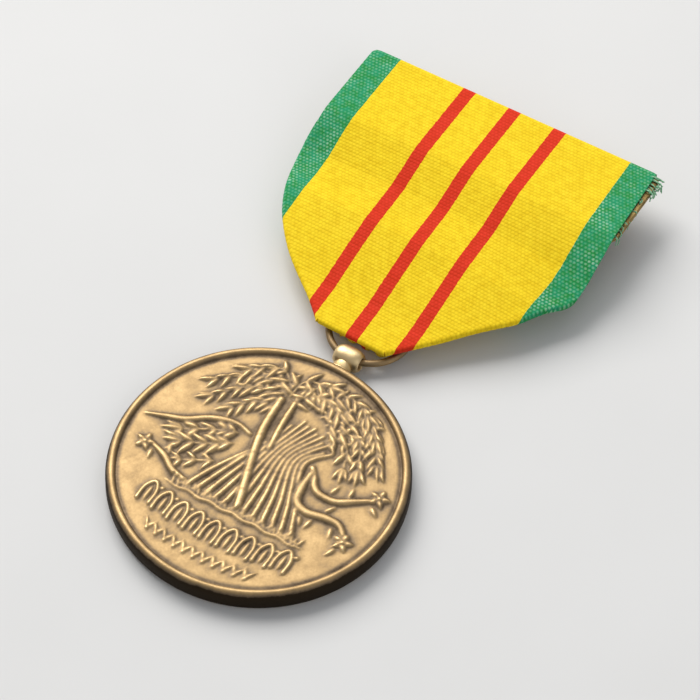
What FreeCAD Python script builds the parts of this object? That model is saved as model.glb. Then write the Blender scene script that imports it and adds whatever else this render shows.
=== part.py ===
"""Round bronze service medal on a folded ribbon, with a pin-back brooch bar.

The medal lies on its back.  X runs across the ribbon, Y runs from the pendant up to the brooch, Z points
out of the obverse, and the surface that the medal rests on is Z = 0.  Every size is in millimetres and
lives in the spreadsheet "dims".
"""

import FreeCAD
import Part
import os

import Sketcher

DIMS = [
    # pendant: a struck disc with a raised rim on both faces
    ("pendant_diameter", 32.0),
    ("pendant_thickness", 2.7),
    ("pendant_y", -19.175),
    ("hang_x", 0.45),
    ("rim_width", 1.1),
    ("rim_chamfer", 0.3),
    ("field_depth", 0.45),
    ("relief_height", 0.25),
    ("stalk_width", 0.7),
    ("stalk_length", 12.0),
    ("stalk_span", 11.0),
    ("canopy_radius", 10.5),
    ("wreath_radius", 11.5),
    ("wreath_width", 2.0),
    # lug: a pierced bead on a short neck, brazed to the pendant's rim
    ("lug_diameter", 2.7),
    ("lug_length", 3.1),
    ("lug_end_diameter", 1.9),
    ("lug_rise", 1.9),
    ("lug_clearance", 0.08),
    ("neck_width", 2.2),
    ("neck_thickness", 1.9),
    ("neck_overlap", 0.9),
    # suspension ring: bent wire with a butt joint
    ("ring_diameter", 9.0),
    ("wire_diameter", 1.0),
    ("ring_sweep", 358.5),
    # ribbon: one length of woven ribbon, drawn as the layers that its folds make
    ("ribbon_width", 35.0),
    ("ribbon_x", -0.35),
    ("ribbon_thickness", 0.35),
    ("tip_gap", 2.0),
    ("tip_width", 8.8),
    ("left_shoulder_y", 18.3),
    ("left_fold_radius", 24.0),
    ("right_shoulder_y", 15.6),
    ("tip_height", 2.8),
    ("kink_y", 20.0),
    ("kink_height", 5.2),
    ("through_width", 5.6),
    ("back_width", 8.6),
    ("back_clearance", 0.2),
    ("pocket_length", 8.0),
    ("flex_y", 12.825),
    ("flex_gap", 0.9),
    ("tab_length", 4.2),
    ("tail_length", 5.6),
    ("flap_tip_x", 0.7),
    ("left_flap_tip_y", 13.3),
    ("right_flap_tip_y", 13.46),
    # tack stitches through the folds
    ("stitch_length", 1.3),
    ("stitch_width", 0.3),
    ("stitch_height", 0.15),
    # brooch bar: a front plate inside the ribbon's turn and a back plate that clamps its tail
    ("brooch_width", 35.9),
    ("brooch_height", 10.0),
    ("brooch_top_y", 34.825),
    ("plate_thickness", 0.5),
    ("plate_inset", 0.3),
    ("plate_corner", 0.8),
    ("stand_off", 3.8),
    # pin and its hinge
    ("pin_height", 1.5),
    ("pin_drop", 5.0),
    ("needle_diameter", 0.84),
    ("needle_point_x", 15.2),
    ("needle_root", 2.5),
    ("needle_root_diameter", 1.5),
    ("needle_taper", 3.4),
    ("needle_point", 2.0),
    ("needle_point_diameter", 0.72),
    ("hinge_x", -13.5),
    ("hinge_length", 4.4),
    ("ear_spacing", 1.8),
    ("ear_thickness", 0.5),
    ("ear_width", 2.6),
    ("eye_diameter", 2.2),
    ("eye_clearance", 0.05),
    ("rivet_diameter", 1.0),
    ("rivet_head_diameter", 1.6),
    ("rivet_head_height", 0.35),
    # safety catch: a turning barrel between two slotted cheeks
    ("catch_x", 12.0),
    ("catch_length", 3.6),
    ("cheek_thickness", 0.6),
    ("cheek_diameter", 3.0),
    ("catch_base_width", 4.4),
    ("journal_diameter", 1.8),
    ("barrel_diameter", 2.6),
    ("barrel_bore", 1.1),
    ("slot_width", 1.0),
    ("barrel_clearance", 0.05),
    ("lever_length", 2.4),
    ("lever_width", 1.0),
    ("lever_thickness", 0.6),
]

RIM_TOP = "dims.pendant_thickness"
PENDANT_R = "dims.pendant_diameter / 2"
LUG_Y = "(dims.pendant_y + dims.pendant_diameter / 2 + dims.lug_rise)"
LUG_Z = "(dims.pendant_thickness / 2)"
RING_Y = f"({LUG_Y} + dims.ring_diameter / 2)"
TIP_Y = f"({LUG_Y} + dims.tip_gap)"
BROOCH_BOTTOM_Y = "(dims.brooch_top_y - dims.brooch_height)"
BACK_PLATE_TOP = "(dims.stand_off + dims.plate_thickness)"
SHELL_BOTTOM = f"({BACK_PLATE_TOP} + dims.ribbon_thickness)"
SHELL_TOP = f"({SHELL_BOTTOM} + dims.plate_thickness)"
FRONT_TOP = f"({SHELL_TOP} + dims.ribbon_thickness)"
SLOPE = f"((dims.kink_height - dims.tip_height) / (dims.kink_y - {TIP_Y}))"
PIN_Y = "(dims.brooch_top_y - dims.pin_drop)"

doc = FreeCAD.newDocument("service_medal")


def make_sheet():
    """The spreadsheet of driving dimensions, one alias to a row."""
    sheet = doc.addObject("Spreadsheet::Sheet", "dims")
    for row, (alias, value) in enumerate(DIMS, start=1):
        sheet.set(f"A{row}", alias)
        sheet.set(f"B{row}", str(value))
        sheet.setAlias(f"B{row}", alias)
    doc.recompute()
    return sheet


sheet = make_sheet()


def number(expression):
    """What an expression in sheet cells comes to, as a plain number."""
    value = sheet.evalExpression(expression)
    return float(getattr(value, "Value", value))


def front_height(y):
    """Expression for the height of the ribbon's front surface at y, from the tip up to the kink."""
    return f"(dims.tip_height + ({y} - {TIP_Y}) * {SLOPE})"


# ---------------------------------------------------------------- sketch and feature helpers


def new_body(label, x="0", y="0", z="0"):
    """A PartDesign body whose origin stands at x, y, z."""
    body = doc.addObject("PartDesign::Body", label)
    body.Label = label
    place(body, x, y, z)
    return body


def place(thing, x="0", y="0", z="0"):
    """Binds an object's position to sheet expressions."""
    for axis, expression in zip("xyz", (x, y, z)):
        thing.setExpression(f"Placement.Base.{axis}", expression)


def new_sketch(body, name, role, offset=None):
    """A sketch on one of the body's own origin planes, lifted by offset along its normal."""
    sketch = body.newObject("Sketcher::SketchObject", name)
    plane = next(o for o in body.Origin.OriginFeatures if o.Role == role)
    sketch.AttachmentSupport = (plane, [""])
    sketch.MapMode = "FlatFace"
    if offset is not None:
        sketch.setExpression("AttachmentOffset.Base.z", offset)
    return sketch


def bind(sketch, constraint, expression):
    """Adds a driving constraint and ties its value to a sheet expression."""
    index = sketch.addConstraint(constraint)
    sketch.setExpression(f"Constraints[{index}]", expression)


def outline(sketch, points, arcs=None):
    """A closed outline through points, each a pair of expressions.

    arcs maps a side's number to (radius expression, sign); the sign says to which side of the
    straight chord, walked forwards, the arc bulges: +1 right, -1 left.  The radius None stands for
    a half circle.
    """
    arcs = arcs or {}
    spots = [FreeCAD.Vector(number(x), number(y), 0) for x, y in points]
    first = sketch.GeometryCount
    for i, start in enumerate(spots):
        end = spots[(i + 1) % len(spots)]
        if i in arcs:
            radius, sign = arcs[i]
            size = (end - start).Length / 2 if radius is None else number(radius)
            sketch.addGeometry(arc_between(start, end, size, sign), False)
        else:
            sketch.addGeometry(Part.LineSegment(start, end), False)
    starts = []
    for i in range(len(spots)):
        begins_at_start = is_start(sketch, first + i, spots[i])
        starts.append(1 if begins_at_start else 2)
    for i in range(len(spots)):
        j = (i + 1) % len(spots)
        sketch.addConstraint(
            Sketcher.Constraint("Coincident", first + i, 3 - starts[i], first + j, starts[j])
        )
    for i, (x, y) in enumerate(points):
        here = (first + i, starts[i])
        bind(sketch, Sketcher.Constraint("DistanceX", -1, 1, *here, spots[i].x), x)
        bind(sketch, Sketcher.Constraint("DistanceY", -1, 1, *here, spots[i].y), y)
    for i, (radius, _) in arcs.items():
        if radius is None:
            sketch.addConstraint(Sketcher.Constraint("Symmetric", first + i, 1, first + i, 2, first + i, 3))
        else:
            bind(sketch, Sketcher.Constraint("Radius", first + i, number(radius)), radius)


def arc_between(start, end, radius, sign):
    """The short arc of that radius from start to end, bulging right (+1) or left (-1) of the chord."""
    chord = end - start
    middle = (start + end) * 0.5
    half = chord.Length / 2
    right = FreeCAD.Vector(chord.y, -chord.x, 0).normalize()
    rise = radius - (radius**2 - half**2) ** 0.5
    return Part.Arc(start, middle + right * (rise * sign), end)


def is_start(sketch, index, spot):
    """True if that edge's own first point lies at spot."""
    return (sketch.getPoint(index, 1) - spot).Length < 1e-6


def circle(sketch, x, y, radius):
    """A full circle whose centre and radius are expressions."""
    centre = FreeCAD.Vector(number(x), number(y), 0)
    index = sketch.addGeometry(Part.Circle(centre, FreeCAD.Vector(0, 0, 1), number(radius)), False)
    bind(sketch, Sketcher.Constraint("DistanceX", -1, 1, index, 3, centre.x), x)
    bind(sketch, Sketcher.Constraint("DistanceY", -1, 1, index, 3, centre.y), y)
    bind(sketch, Sketcher.Constraint("Radius", index, number(radius)), radius)


def pad(body, sketch, length, midplane=False, name="Pad"):
    feature = body.newObject("PartDesign::Pad", name)
    feature.Profile = sketch
    feature.setExpression("Length", length)
    feature.Midplane = midplane
    doc.recompute()
    return feature


def pocket_through(body, sketch, name="Pocket"):
    """A pocket through the whole body, to both sides of the sketch."""
    before = body.Shape.Volume
    feature = body.newObject("PartDesign::Pocket", name)
    feature.Profile = sketch
    feature.Type = "ThroughAll"
    feature.Midplane = True
    doc.recompute()
    if not body.Shape.Volume < before - 1e-6:
        raise RuntimeError(f"{body.Label}: {name} cuts nothing")
    return feature


def revolve(body, sketch, axis, kind="Revolution"):
    """A full turn of a sketch about its own H_Axis or V_Axis; kind is Revolution or Groove."""
    before = body.Shape.Volume if body.Tip else 0.0
    feature = body.newObject(f"PartDesign::{kind}", kind)
    feature.Profile = sketch
    feature.ReferenceAxis = (sketch, [axis])
    feature.Angle = 360.0
    doc.recompute()
    if kind == "Groove" and not body.Shape.Volume < before - 1e-6:
        raise RuntimeError(f"{body.Label}: the groove cuts nothing")
    return feature


def round_edges(body, radius, wanted, kind="Fillet"):
    """Fillets or chamfers the edges of the body's tip for which wanted(edge) is true."""
    tip = body.Tip
    names = [f"Edge{i}" for i, e in enumerate(tip.Shape.Edges, start=1) if wanted(e)]
    feature = body.newObject(f"PartDesign::{kind}", kind)
    feature.Base = (tip, names)
    feature.setExpression("Radius" if kind == "Fillet" else "Size", radius)
    doc.recompute()
    return feature


def along(edge, axis):
    """True if a straight edge runs along that axis, given as 0, 1 or 2."""
    if edge.Curve.TypeId != "Part::GeomLine":
        return False
    direction = edge.Curve.Direction
    return abs(abs(direction[axis]) - 1) < 1e-6


def primitive(kind, label, **sizes):
    """A Part primitive with its sizes bound to sheet expressions."""
    thing = doc.addObject(f"Part::{kind}", label)
    thing.Label = label
    for key, expression in sizes.items():
        thing.setExpression(key, expression)
    return thing


def turn(thing, axis, angle):
    """Turns an object about its own origin."""
    base = thing.Placement.Base
    thing.Placement = FreeCAD.Placement(base, FreeCAD.Rotation(FreeCAD.Vector(*axis), angle))


def fuse(label, things):
    joined = doc.addObject("Part::MultiFuse", label)
    joined.Label = label
    joined.Shapes = things
    joined.Refine = True
    return joined


def cut(label, base, tool):
    result = doc.addObject("Part::Cut", label)
    result.Label = label
    result.Base = base
    result.Tool = tool
    return result


# ---------------------------------------------------------------- pendant, lug and ring


def pendant_disc():
    """Disc with a raised rim on both faces, a grove in low relief in front and a wreath band behind."""
    body = new_body("pendant_disc", x="dims.hang_x", y="dims.pendant_y")
    field_r = f"({PENDANT_R} - dims.rim_width)"
    flat_r = f"({PENDANT_R} - dims.rim_chamfer)"
    section = new_sketch(body, "disc_section", "XZ_Plane")
    outline(
        section,
        [
            ("0", "dims.field_depth"),
            (field_r, "dims.field_depth"),
            (field_r, "0"),
            (flat_r, "0"),
            (PENDANT_R, "dims.rim_chamfer"),
            (PENDANT_R, f"{RIM_TOP} - dims.rim_chamfer"),
            (flat_r, RIM_TOP),
            (field_r, RIM_TOP),
            (field_r, f"{RIM_TOP} - dims.field_depth"),
            ("0", f"{RIM_TOP} - dims.field_depth"),
        ],
    )
    revolve(body, section, "V_Axis")

    stalk = new_sketch(body, "stalk", "XY_Plane", f"{RIM_TOP} - dims.field_depth")
    left = "-dims.stalk_span / 2 - dims.stalk_width / 2"
    right = "-dims.stalk_span / 2 + dims.stalk_width / 2"
    bottom, top = "-dims.stalk_length / 2", "dims.stalk_length / 2"
    outline(stalk, [(left, bottom), (right, bottom), (right, top), (left, top)])
    first = pad(body, stalk, "dims.relief_height", name="StalkPad")
    row = body.newObject("PartDesign::LinearPattern", "StalkRow")
    row.Originals = [first]
    row.Direction = (stalk, ["H_Axis"])
    row.setExpression("Length", "dims.stalk_span")
    row.Occurrences = 9
    body.Tip = row
    doc.recompute()

    canopy = new_sketch(body, "canopy", "XY_Plane", f"{RIM_TOP} - dims.field_depth")
    edge = "dims.canopy_radius"
    low = "dims.stalk_length / 2 - dims.stalk_width"
    outline(
        canopy,
        [(f"-{edge}", low), (edge, low)],
        arcs={1: ("dims.canopy_radius * 1.16", 1)},
    )
    pad(body, canopy, "dims.relief_height", name="CanopyPad")

    wreath = new_sketch(body, "wreath", "XY_Plane", "dims.field_depth")
    circle(wreath, "0", "0", "dims.wreath_radius")
    circle(wreath, "0", "0", "dims.wreath_radius - dims.wreath_width")
    band = pad(body, wreath, "dims.relief_height", name="WreathPad")
    band.Reversed = True
    doc.recompute()
    return body


def suspension_lug():
    """Bead with a flared hole for the ring, on a neck whose foot follows the pendant's rim."""
    body = new_body("suspension_lug", x="dims.hang_x", y=LUG_Y, z=LUG_Z)
    bead = new_sketch(body, "bead_section", "XZ_Plane")
    reach, lip = "dims.lug_length / 2", "dims.lug_end_diameter / 2"
    rise = "(dims.lug_diameter / 2 - dims.lug_end_diameter / 2)"
    outline(
        bead,
        [(f"-{reach}", "0"), (reach, "0"), (reach, lip), (f"-{reach}", lip)],
        arcs={2: (f"(({reach})^2 + {rise}^2) / (2 * {rise})", 1)},
    )
    revolve(body, bead, "H_Axis")

    neck = new_sketch(body, "neck", "XY_Plane")
    half = "dims.neck_width / 2"
    foot = f"-dims.lug_rise - {PENDANT_R} + sqrt(({PENDANT_R})^2 - ({half})^2)"
    head = "-dims.neck_overlap"
    outline(
        neck,
        [(f"-{half}", foot), (half, foot), (half, head), (f"-{half}", head)],
        arcs={0: (PENDANT_R, -1)},
    )
    pad(body, neck, "dims.neck_thickness", midplane=True, name="NeckPad")

    bore = new_sketch(body, "bore_section", "XZ_Plane")
    reach = "dims.lug_length * 0.6"
    waist = "dims.wire_diameter / 2 + dims.lug_clearance"
    mouth = f"{waist} + dims.ring_diameter / 2 - sqrt((dims.ring_diameter / 2)^2 - ({reach})^2)"
    outline(
        bore,
        [(f"-{reach}", "0"), (reach, "0"), (reach, mouth), (f"-{reach}", mouth)],
        arcs={2: ("dims.ring_diameter / 2", -1)},
    )
    revolve(body, bore, "H_Axis", "Groove")
    return body


def suspension_ring():
    """Round wire ring lying flat, with its butt joint inside the ribbon's pocket."""
    ring = primitive(
        "Torus",
        "suspension_ring",
        Radius1="dims.ring_diameter / 2",
        Radius2="dims.wire_diameter / 2",
        Angle3="dims.ring_sweep",
    )
    joint_angle = 90 + (360 - number("dims.ring_sweep")) / 2
    turn(ring, (0, 0, 1), joint_angle)
    place(ring, "dims.hang_x", RING_Y, LUG_Z)
    return ring


# ---------------------------------------------------------------- ribbon


def trim_sides(body):
    """Cuts both lower corners along the folds: a straight fold on the right, a fuller one on the left."""
    corners = new_sketch(body, "corners", "XY_Plane")
    half, tip = "dims.ribbon_width / 2", "dims.tip_width / 2"
    outside, below = f"{half} + 3", f"{TIP_Y} - 3"
    outline(
        corners,
        [
            (half, "dims.right_shoulder_y"),
            (tip, TIP_Y),
            (tip, below),
            (outside, below),
            (outside, "dims.right_shoulder_y"),
        ],
    )
    outline(
        corners,
        [
            (f"-{half}", "dims.left_shoulder_y"),
            (f"-({outside})", "dims.left_shoulder_y"),
            (f"-({outside})", below),
            (f"-{tip}", below),
            (f"-{tip}", TIP_Y),
        ],
        arcs={4: ("dims.left_fold_radius", -1)},
    )
    pocket_through(body, corners, "Corners")


def ribbon_front_panel():
    """Upper front of the drape: it covers the shell, turns over its top and ends between the plates."""
    body = new_body("ribbon_front_panel", x="dims.ribbon_x")
    side = new_sketch(body, "side", "YZ_Plane")
    start = "dims.flex_y + dims.flex_gap"
    top = "dims.brooch_top_y + dims.ribbon_thickness"
    tail = "dims.brooch_top_y - dims.tail_length"
    outline(
        side,
        [
            (start, f"{front_height(start)} - dims.ribbon_thickness"),
            ("dims.kink_y", "dims.kink_height - dims.ribbon_thickness"),
            (BROOCH_BOTTOM_Y, SHELL_TOP),
            ("dims.brooch_top_y", SHELL_TOP),
            ("dims.brooch_top_y", SHELL_BOTTOM),
            (tail, SHELL_BOTTOM),
            (tail, BACK_PLATE_TOP),
            (top, BACK_PLATE_TOP),
            (top, FRONT_TOP),
            (BROOCH_BOTTOM_Y, FRONT_TOP),
            ("dims.kink_y", "dims.kink_height"),
            (start, front_height(start)),
        ],
    )
    pad(body, side, "dims.ribbon_width", midplane=True)
    trim_sides(body)
    return body


def flap(label, side):
    """Upper end of a folded corner, flat against the back of the front panel; side is left or right."""
    body = new_body(label, x="dims.ribbon_x")
    profile = new_sketch(body, "profile", "YZ_Plane")
    start, end = "dims.flex_y + dims.flex_gap", f"dims.{side}_shoulder_y"
    outline(
        profile,
        [
            (start, f"{front_height(start)} - 2 * dims.ribbon_thickness"),
            (end, f"{front_height(end)} - 2 * dims.ribbon_thickness"),
            (end, f"{front_height(end)} - dims.ribbon_thickness"),
            (start, f"{front_height(start)} - dims.ribbon_thickness"),
        ],
    )
    pad(body, profile, "dims.ribbon_width", midplane=True)
    trim_sides(body)
    above = new_sketch(body, "above", "XY_Plane")
    half = "dims.ribbon_width / 2"
    points = [
        ("dims.flap_tip_x", "0"),
        ("dims.flap_tip_x", f"dims.{side}_flap_tip_y"),
        (half, end),
        (half, f"{end} + 5"),
        (f"-{half} - 3", f"{end} + 5"),
        (f"-{half} - 3", "0"),
    ]
    if side == "left":
        points = [(f"-({x})", y) for x, y in points]
    outline(above, points)
    pocket_through(body, above, "Selvage")
    return body


def ribbon_return_tab():
    """End of the ribbon after it has gone round the ring, sewn down over both flaps."""
    body = new_body("ribbon_return_tab", x="dims.ribbon_x")
    side = new_sketch(body, "side", "YZ_Plane")
    start = "dims.flex_y + dims.flex_gap"
    end = f"{start} + dims.tab_length"
    outline(
        side,
        [
            (start, f"{front_height(start)} - 3 * dims.ribbon_thickness"),
            (end, f"{front_height(end)} - 3 * dims.ribbon_thickness"),
            (end, f"{front_height(end)} - 2 * dims.ribbon_thickness"),
            (start, f"{front_height(start)} - 2 * dims.ribbon_thickness"),
        ],
    )
    pad(body, side, "dims.back_width", midplane=True)
    return body


def ribbon_loop():
    """Lower end of the drape, two layers thick in front, wrapped through the ring to the back."""
    body = new_body("ribbon_loop", x="dims.ribbon_x")
    layer = "dims.ribbon_thickness"
    end = "dims.flex_y - dims.flex_gap"
    front = new_sketch(body, "front_side", "YZ_Plane")
    outline(
        front,
        [
            (TIP_Y, f"dims.tip_height - 2 * {layer}"),
            (end, f"{front_height(end)} - 2 * {layer}"),
            (end, front_height(end)),
            (TIP_Y, "dims.tip_height"),
        ],
    )
    pad(body, front, "dims.ribbon_width", midplane=True, name="FrontPad")
    trim_sides(body)

    low = "dims.back_clearance"
    ramp = f"{TIP_Y} + dims.pocket_length"
    through = new_sketch(body, "through_side", "YZ_Plane", "dims.hang_x - dims.ribbon_x")
    outline(
        through,
        [
            (TIP_Y, low),
            (f"{TIP_Y} + {layer}", low),
            (f"{TIP_Y} + {layer}", f"dims.tip_height - {layer}"),
            (TIP_Y, f"dims.tip_height - {layer}"),
        ],
    )
    pad(body, through, "dims.through_width", midplane=True, name="ThroughPad")

    back = new_sketch(body, "back_side", "YZ_Plane")
    outline(
        back,
        [
            (TIP_Y, low),
            (ramp, low),
            (end, f"{front_height(end)} - 3 * {layer}"),
            (end, f"{front_height(end)} - 1.5 * {layer}"),
            (f"{ramp} - {layer} / 2", f"{low} + {layer}"),
            (TIP_Y, f"{low} + {layer}"),
        ],
    )
    pad(body, back, "dims.back_width", midplane=True, name="BackPad")
    return body


def tack_stitches():
    """Short thread stitches on the back of the tab, in two rows."""
    rows = [
        ("dims.ribbon_x + dims.back_width / 2 - dims.stitch_length - 0.4", i)
        for i in range(3)
    ] + [
        ("dims.ribbon_x - dims.back_width / 2 + 0.4", i)
        for i in range(3)
    ]
    stitches = []
    for n, (x, i) in enumerate(rows):
        stitch = primitive(
            "Box",
            f"stitch_{n + 1}",
            Length="dims.stitch_length",
            Width="dims.stitch_width",
            Height="dims.stitch_height",
        )
        y = f"(dims.flex_y + dims.flex_gap + 0.8 + {i} * dims.tab_length / 3.4)"
        down = f"dims.stitch_height * sqrt(1 + {SLOPE}^2)"
        turn(stitch, (1, 0, 0), number(f"atan({SLOPE})"))
        place(stitch, x, y, f"{front_height(y)} - 3 * dims.ribbon_thickness - {down}")
        stitches.append(stitch)
    group = doc.addObject("Part::Compound", "tack_stitches")
    group.Label = "tack_stitches"
    group.Links = stitches
    return group


# ---------------------------------------------------------------- brooch bar


def brooch_front_shell():
    """Front plate of the brooch bar, which the ribbon is wrapped round."""
    body = new_body("brooch_front_shell", y="dims.brooch_top_y", z=SHELL_BOTTOM)
    section = new_sketch(body, "section", "XZ_Plane")
    half, wall = "dims.brooch_width / 2", "dims.plate_thickness"
    outline(section, [(f"-({half})", "0"), (half, "0"), (half, wall), (f"-({half})", wall)])
    pad(body, section, "dims.brooch_height")
    round_edges(
        body,
        "dims.plate_thickness * 0.6",
        lambda e: along(e, 1) and e.BoundBox.ZMin > 0.1,
    )
    return body


def brooch_back_plate():
    """Plate that clamps the ribbon's tail to the front plate and carries the pin and the catch."""
    body = new_body("brooch_back_plate", y=PIN_Y, z="dims.stand_off")
    shape = new_sketch(body, "shape", "XY_Plane")
    x = "dims.brooch_width / 2 - dims.plate_thickness"
    y = "dims.brooch_height / 2 - dims.plate_inset"
    outline(shape, [(f"-({x})", f"-({y})"), (x, f"-({y})"), (x, y), (f"-({x})", y)])
    pad(body, shape, "dims.plate_thickness")
    round_edges(body, "dims.plate_corner", lambda e: along(e, 2))
    return body


def hinge_bracket():
    """U-shaped bracket whose two ears hold the rivet that the pin turns on."""
    body = new_body("hinge_bracket", x="dims.hinge_x", y=PIN_Y, z="dims.pin_height")
    section = new_sketch(body, "section", "YZ_Plane")
    inner = "dims.ear_spacing / 2"
    outer = f"{inner} + dims.ear_thickness"
    top = "dims.stand_off - dims.pin_height"
    roof = f"{top} - dims.ear_thickness"
    bottom = "-dims.pin_height"
    outline(
        section,
        [
            (f"-({outer})", bottom),
            (f"-({inner})", bottom),
            (f"-({inner})", roof),
            (inner, roof),
            (inner, bottom),
            (outer, bottom),
            (outer, top),
            (f"-({outer})", top),
        ],
    )
    pad(body, section, "dims.ear_width", midplane=True)
    floor = number(bottom)
    round_edges(
        body,
        "dims.ear_width * 0.3",
        lambda e: along(e, 1) and abs(e.BoundBox.ZMin - floor) < 1e-6,
    )
    hole = new_sketch(body, "rivet_hole", "XZ_Plane")
    circle(hole, "0", "0", "dims.rivet_diameter / 2")
    pocket_through(body, hole, "RivetHole")
    return body


def hinge_rivet():
    """Rivet through both ears, with a head on each side."""
    outer = "(dims.ear_spacing / 2 + dims.ear_thickness)"
    shank = primitive("Cylinder", "rivet_shank", Radius="dims.rivet_diameter / 2", Height=f"2 * {outer}")
    turn(shank, (1, 0, 0), 90)
    place(shank, "dims.hinge_x", f"{PIN_Y} + {outer}", "dims.pin_height")
    heads = []
    for name, y in (
        ("rivet_head_upper", f"{PIN_Y} + {outer} + dims.rivet_head_height"),
        ("rivet_head_lower", f"{PIN_Y} - {outer}"),
    ):
        head = primitive("Cylinder", name, Radius="dims.rivet_head_diameter / 2", Height="dims.rivet_head_height")
        turn(head, (1, 0, 0), 90)
        place(head, "dims.hinge_x", y, "dims.pin_height")
        heads.append(head)
    return fuse("hinge_rivet", [shank, *heads])


def round_length(name, start, end, diameter, end_diameter=None):
    """A round length along X between two stations, straight or tapered."""
    sizes = {"Radius": f"{diameter} / 2"}
    if end_diameter:
        sizes = {"Radius1": f"{diameter} / 2", "Radius2": f"{end_diameter} / 2"}
    length = primitive("Cone" if end_diameter else "Cylinder", name, Height=f"({end}) - ({start})", **sizes)
    turn(length, (0, 1, 0), 90)
    place(length, start, PIN_Y, "dims.pin_height")
    return length


def pin_stem():
    """Steel pin: a flat eye at the hinge, a stout root, a round needle and a long ground point."""
    thick = "(dims.ear_spacing - 4 * dims.eye_clearance)"
    eye = primitive("Cylinder", "pin_eye", Radius="dims.eye_diameter / 2", Height=thick)
    turn(eye, (1, 0, 0), 90)
    place(eye, "dims.hinge_x", f"{PIN_Y} + {thick} / 2", "dims.pin_height")
    wire, tip_wire = "dims.needle_diameter", "dims.needle_point_diameter"
    root_end = "dims.hinge_x + dims.needle_root"
    point_start = "dims.needle_point_x - dims.needle_point"
    taper_start = f"{point_start} - dims.needle_taper"
    root = round_length("pin_root", "dims.hinge_x", root_end, "dims.needle_root_diameter", wire)
    needle = round_length("pin_needle", root_end, taper_start, wire)
    taper = round_length("pin_taper", taper_start, point_start, wire, tip_wire)
    point = round_length("pin_point", point_start, "dims.needle_point_x", tip_wire, f"({wire} / 8)")
    blank = fuse("pin_blank", [eye, root, needle, taper, point])
    bore = primitive(
        "Cylinder",
        "pin_eye_bore",
        Radius="dims.rivet_diameter / 2 + dims.eye_clearance",
        Height="dims.ear_spacing * 2",
    )
    turn(bore, (1, 0, 0), 90)
    place(bore, "dims.hinge_x", f"{PIN_Y} + dims.ear_spacing", "dims.pin_height")
    return cut("pin_stem", blank, bore)


def catch_housing():
    """Base with two round cheeks, each with a journal hole and a slot that lets the needle in."""
    body = new_body("catch_housing", x="dims.catch_x", y=PIN_Y, z="dims.pin_height")
    top = "dims.stand_off - dims.pin_height"
    half = "dims.cheek_diameter / 2"
    base = new_sketch(body, "base", "YZ_Plane")
    width = "dims.catch_base_width / 2"
    low = f"{top} - dims.plate_thickness"
    outline(base, [(f"-({width})", low), (width, low), (width, top), (f"-({width})", top)])
    pad(body, base, "dims.catch_length", midplane=True, name="BasePad")
    cheek = new_sketch(body, "cheek", "YZ_Plane", "dims.catch_length / 2 - dims.cheek_thickness")
    outline(
        cheek,
        [(f"-({half})", low), (f"-({half})", "0"), (half, "0"), (half, low)],
        arcs={1: (None, 1)},
    )
    first = pad(body, cheek, "dims.cheek_thickness", name="CheekPad")
    pair = body.newObject("PartDesign::Mirrored", "CheekPair")
    pair.Originals = [first]
    plane = next(o for o in body.Origin.OriginFeatures if o.Role == "YZ_Plane")
    pair.MirrorPlane = (plane, [""])
    body.Tip = pair
    doc.recompute()
    way = new_sketch(body, "journal_hole", "YZ_Plane")
    circle(way, "0", "0", "dims.journal_diameter / 2 + dims.barrel_clearance")
    pocket_through(body, way, "JournalHole")
    gate = new_sketch(body, "gate", "YZ_Plane")
    slot = "dims.slot_width / 2 + dims.barrel_clearance"
    below = "-dims.cheek_diameter"
    outline(gate, [(f"-({slot})", below), (slot, below), (slot, "0"), (f"-({slot})", "0")])
    pocket_through(body, gate, "Gate")
    return body


def catch_barrel():
    """Slotted barrel that turns over the needle, with journals in the cheeks and a small lever."""
    inner = "(dims.catch_length - 2 * dims.cheek_thickness - 2 * dims.barrel_clearance)"
    drum = primitive("Cylinder", "barrel_drum", Radius="dims.barrel_diameter / 2", Height=inner)
    turn(drum, (0, 1, 0), 90)
    place(drum, f"dims.catch_x - {inner} / 2", PIN_Y, "dims.pin_height")
    journal = primitive("Cylinder", "barrel_journal", Radius="dims.journal_diameter / 2", Height="dims.catch_length")
    turn(journal, (0, 1, 0), 90)
    place(journal, "dims.catch_x - dims.catch_length / 2", PIN_Y, "dims.pin_height")
    lever = primitive(
        "Box",
        "barrel_lever",
        Length="dims.lever_width",
        Width="dims.lever_length - dims.barrel_bore / 2 - 0.3",
        Height="dims.lever_thickness",
    )
    place(
        lever,
        "dims.catch_x - dims.lever_width / 2",
        f"{PIN_Y} + dims.barrel_bore / 2 + 0.3",
        "dims.pin_height - dims.lever_thickness / 2",
    )
    blank = fuse("barrel_blank", [drum, journal, lever])
    bore = primitive("Cylinder", "barrel_bore_tool", Radius="dims.barrel_bore / 2", Height="dims.catch_length * 2")
    turn(bore, (0, 1, 0), 90)
    place(bore, "dims.catch_x - dims.catch_length", PIN_Y, "dims.pin_height")
    slot = primitive(
        "Box",
        "barrel_slot_tool",
        Length="dims.catch_length * 2",
        Width="dims.slot_width",
        Height="dims.barrel_diameter",
    )
    place(
        slot,
        "dims.catch_x - dims.catch_length",
        f"{PIN_Y} - dims.slot_width / 2",
        "dims.pin_height - dims.barrel_diameter",
    )
    opening = fuse("barrel_opening", [bore, slot])
    return cut("catch_barrel", blank, opening)


def check_document():
    """Stops the build if any object failed to recompute."""
    for thing in doc.Objects:
        bad = [s for s in thing.State if s in ("Invalid", "Error")]
        if bad:
            raise RuntimeError(f"{thing.Label} is {bad}")


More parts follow.
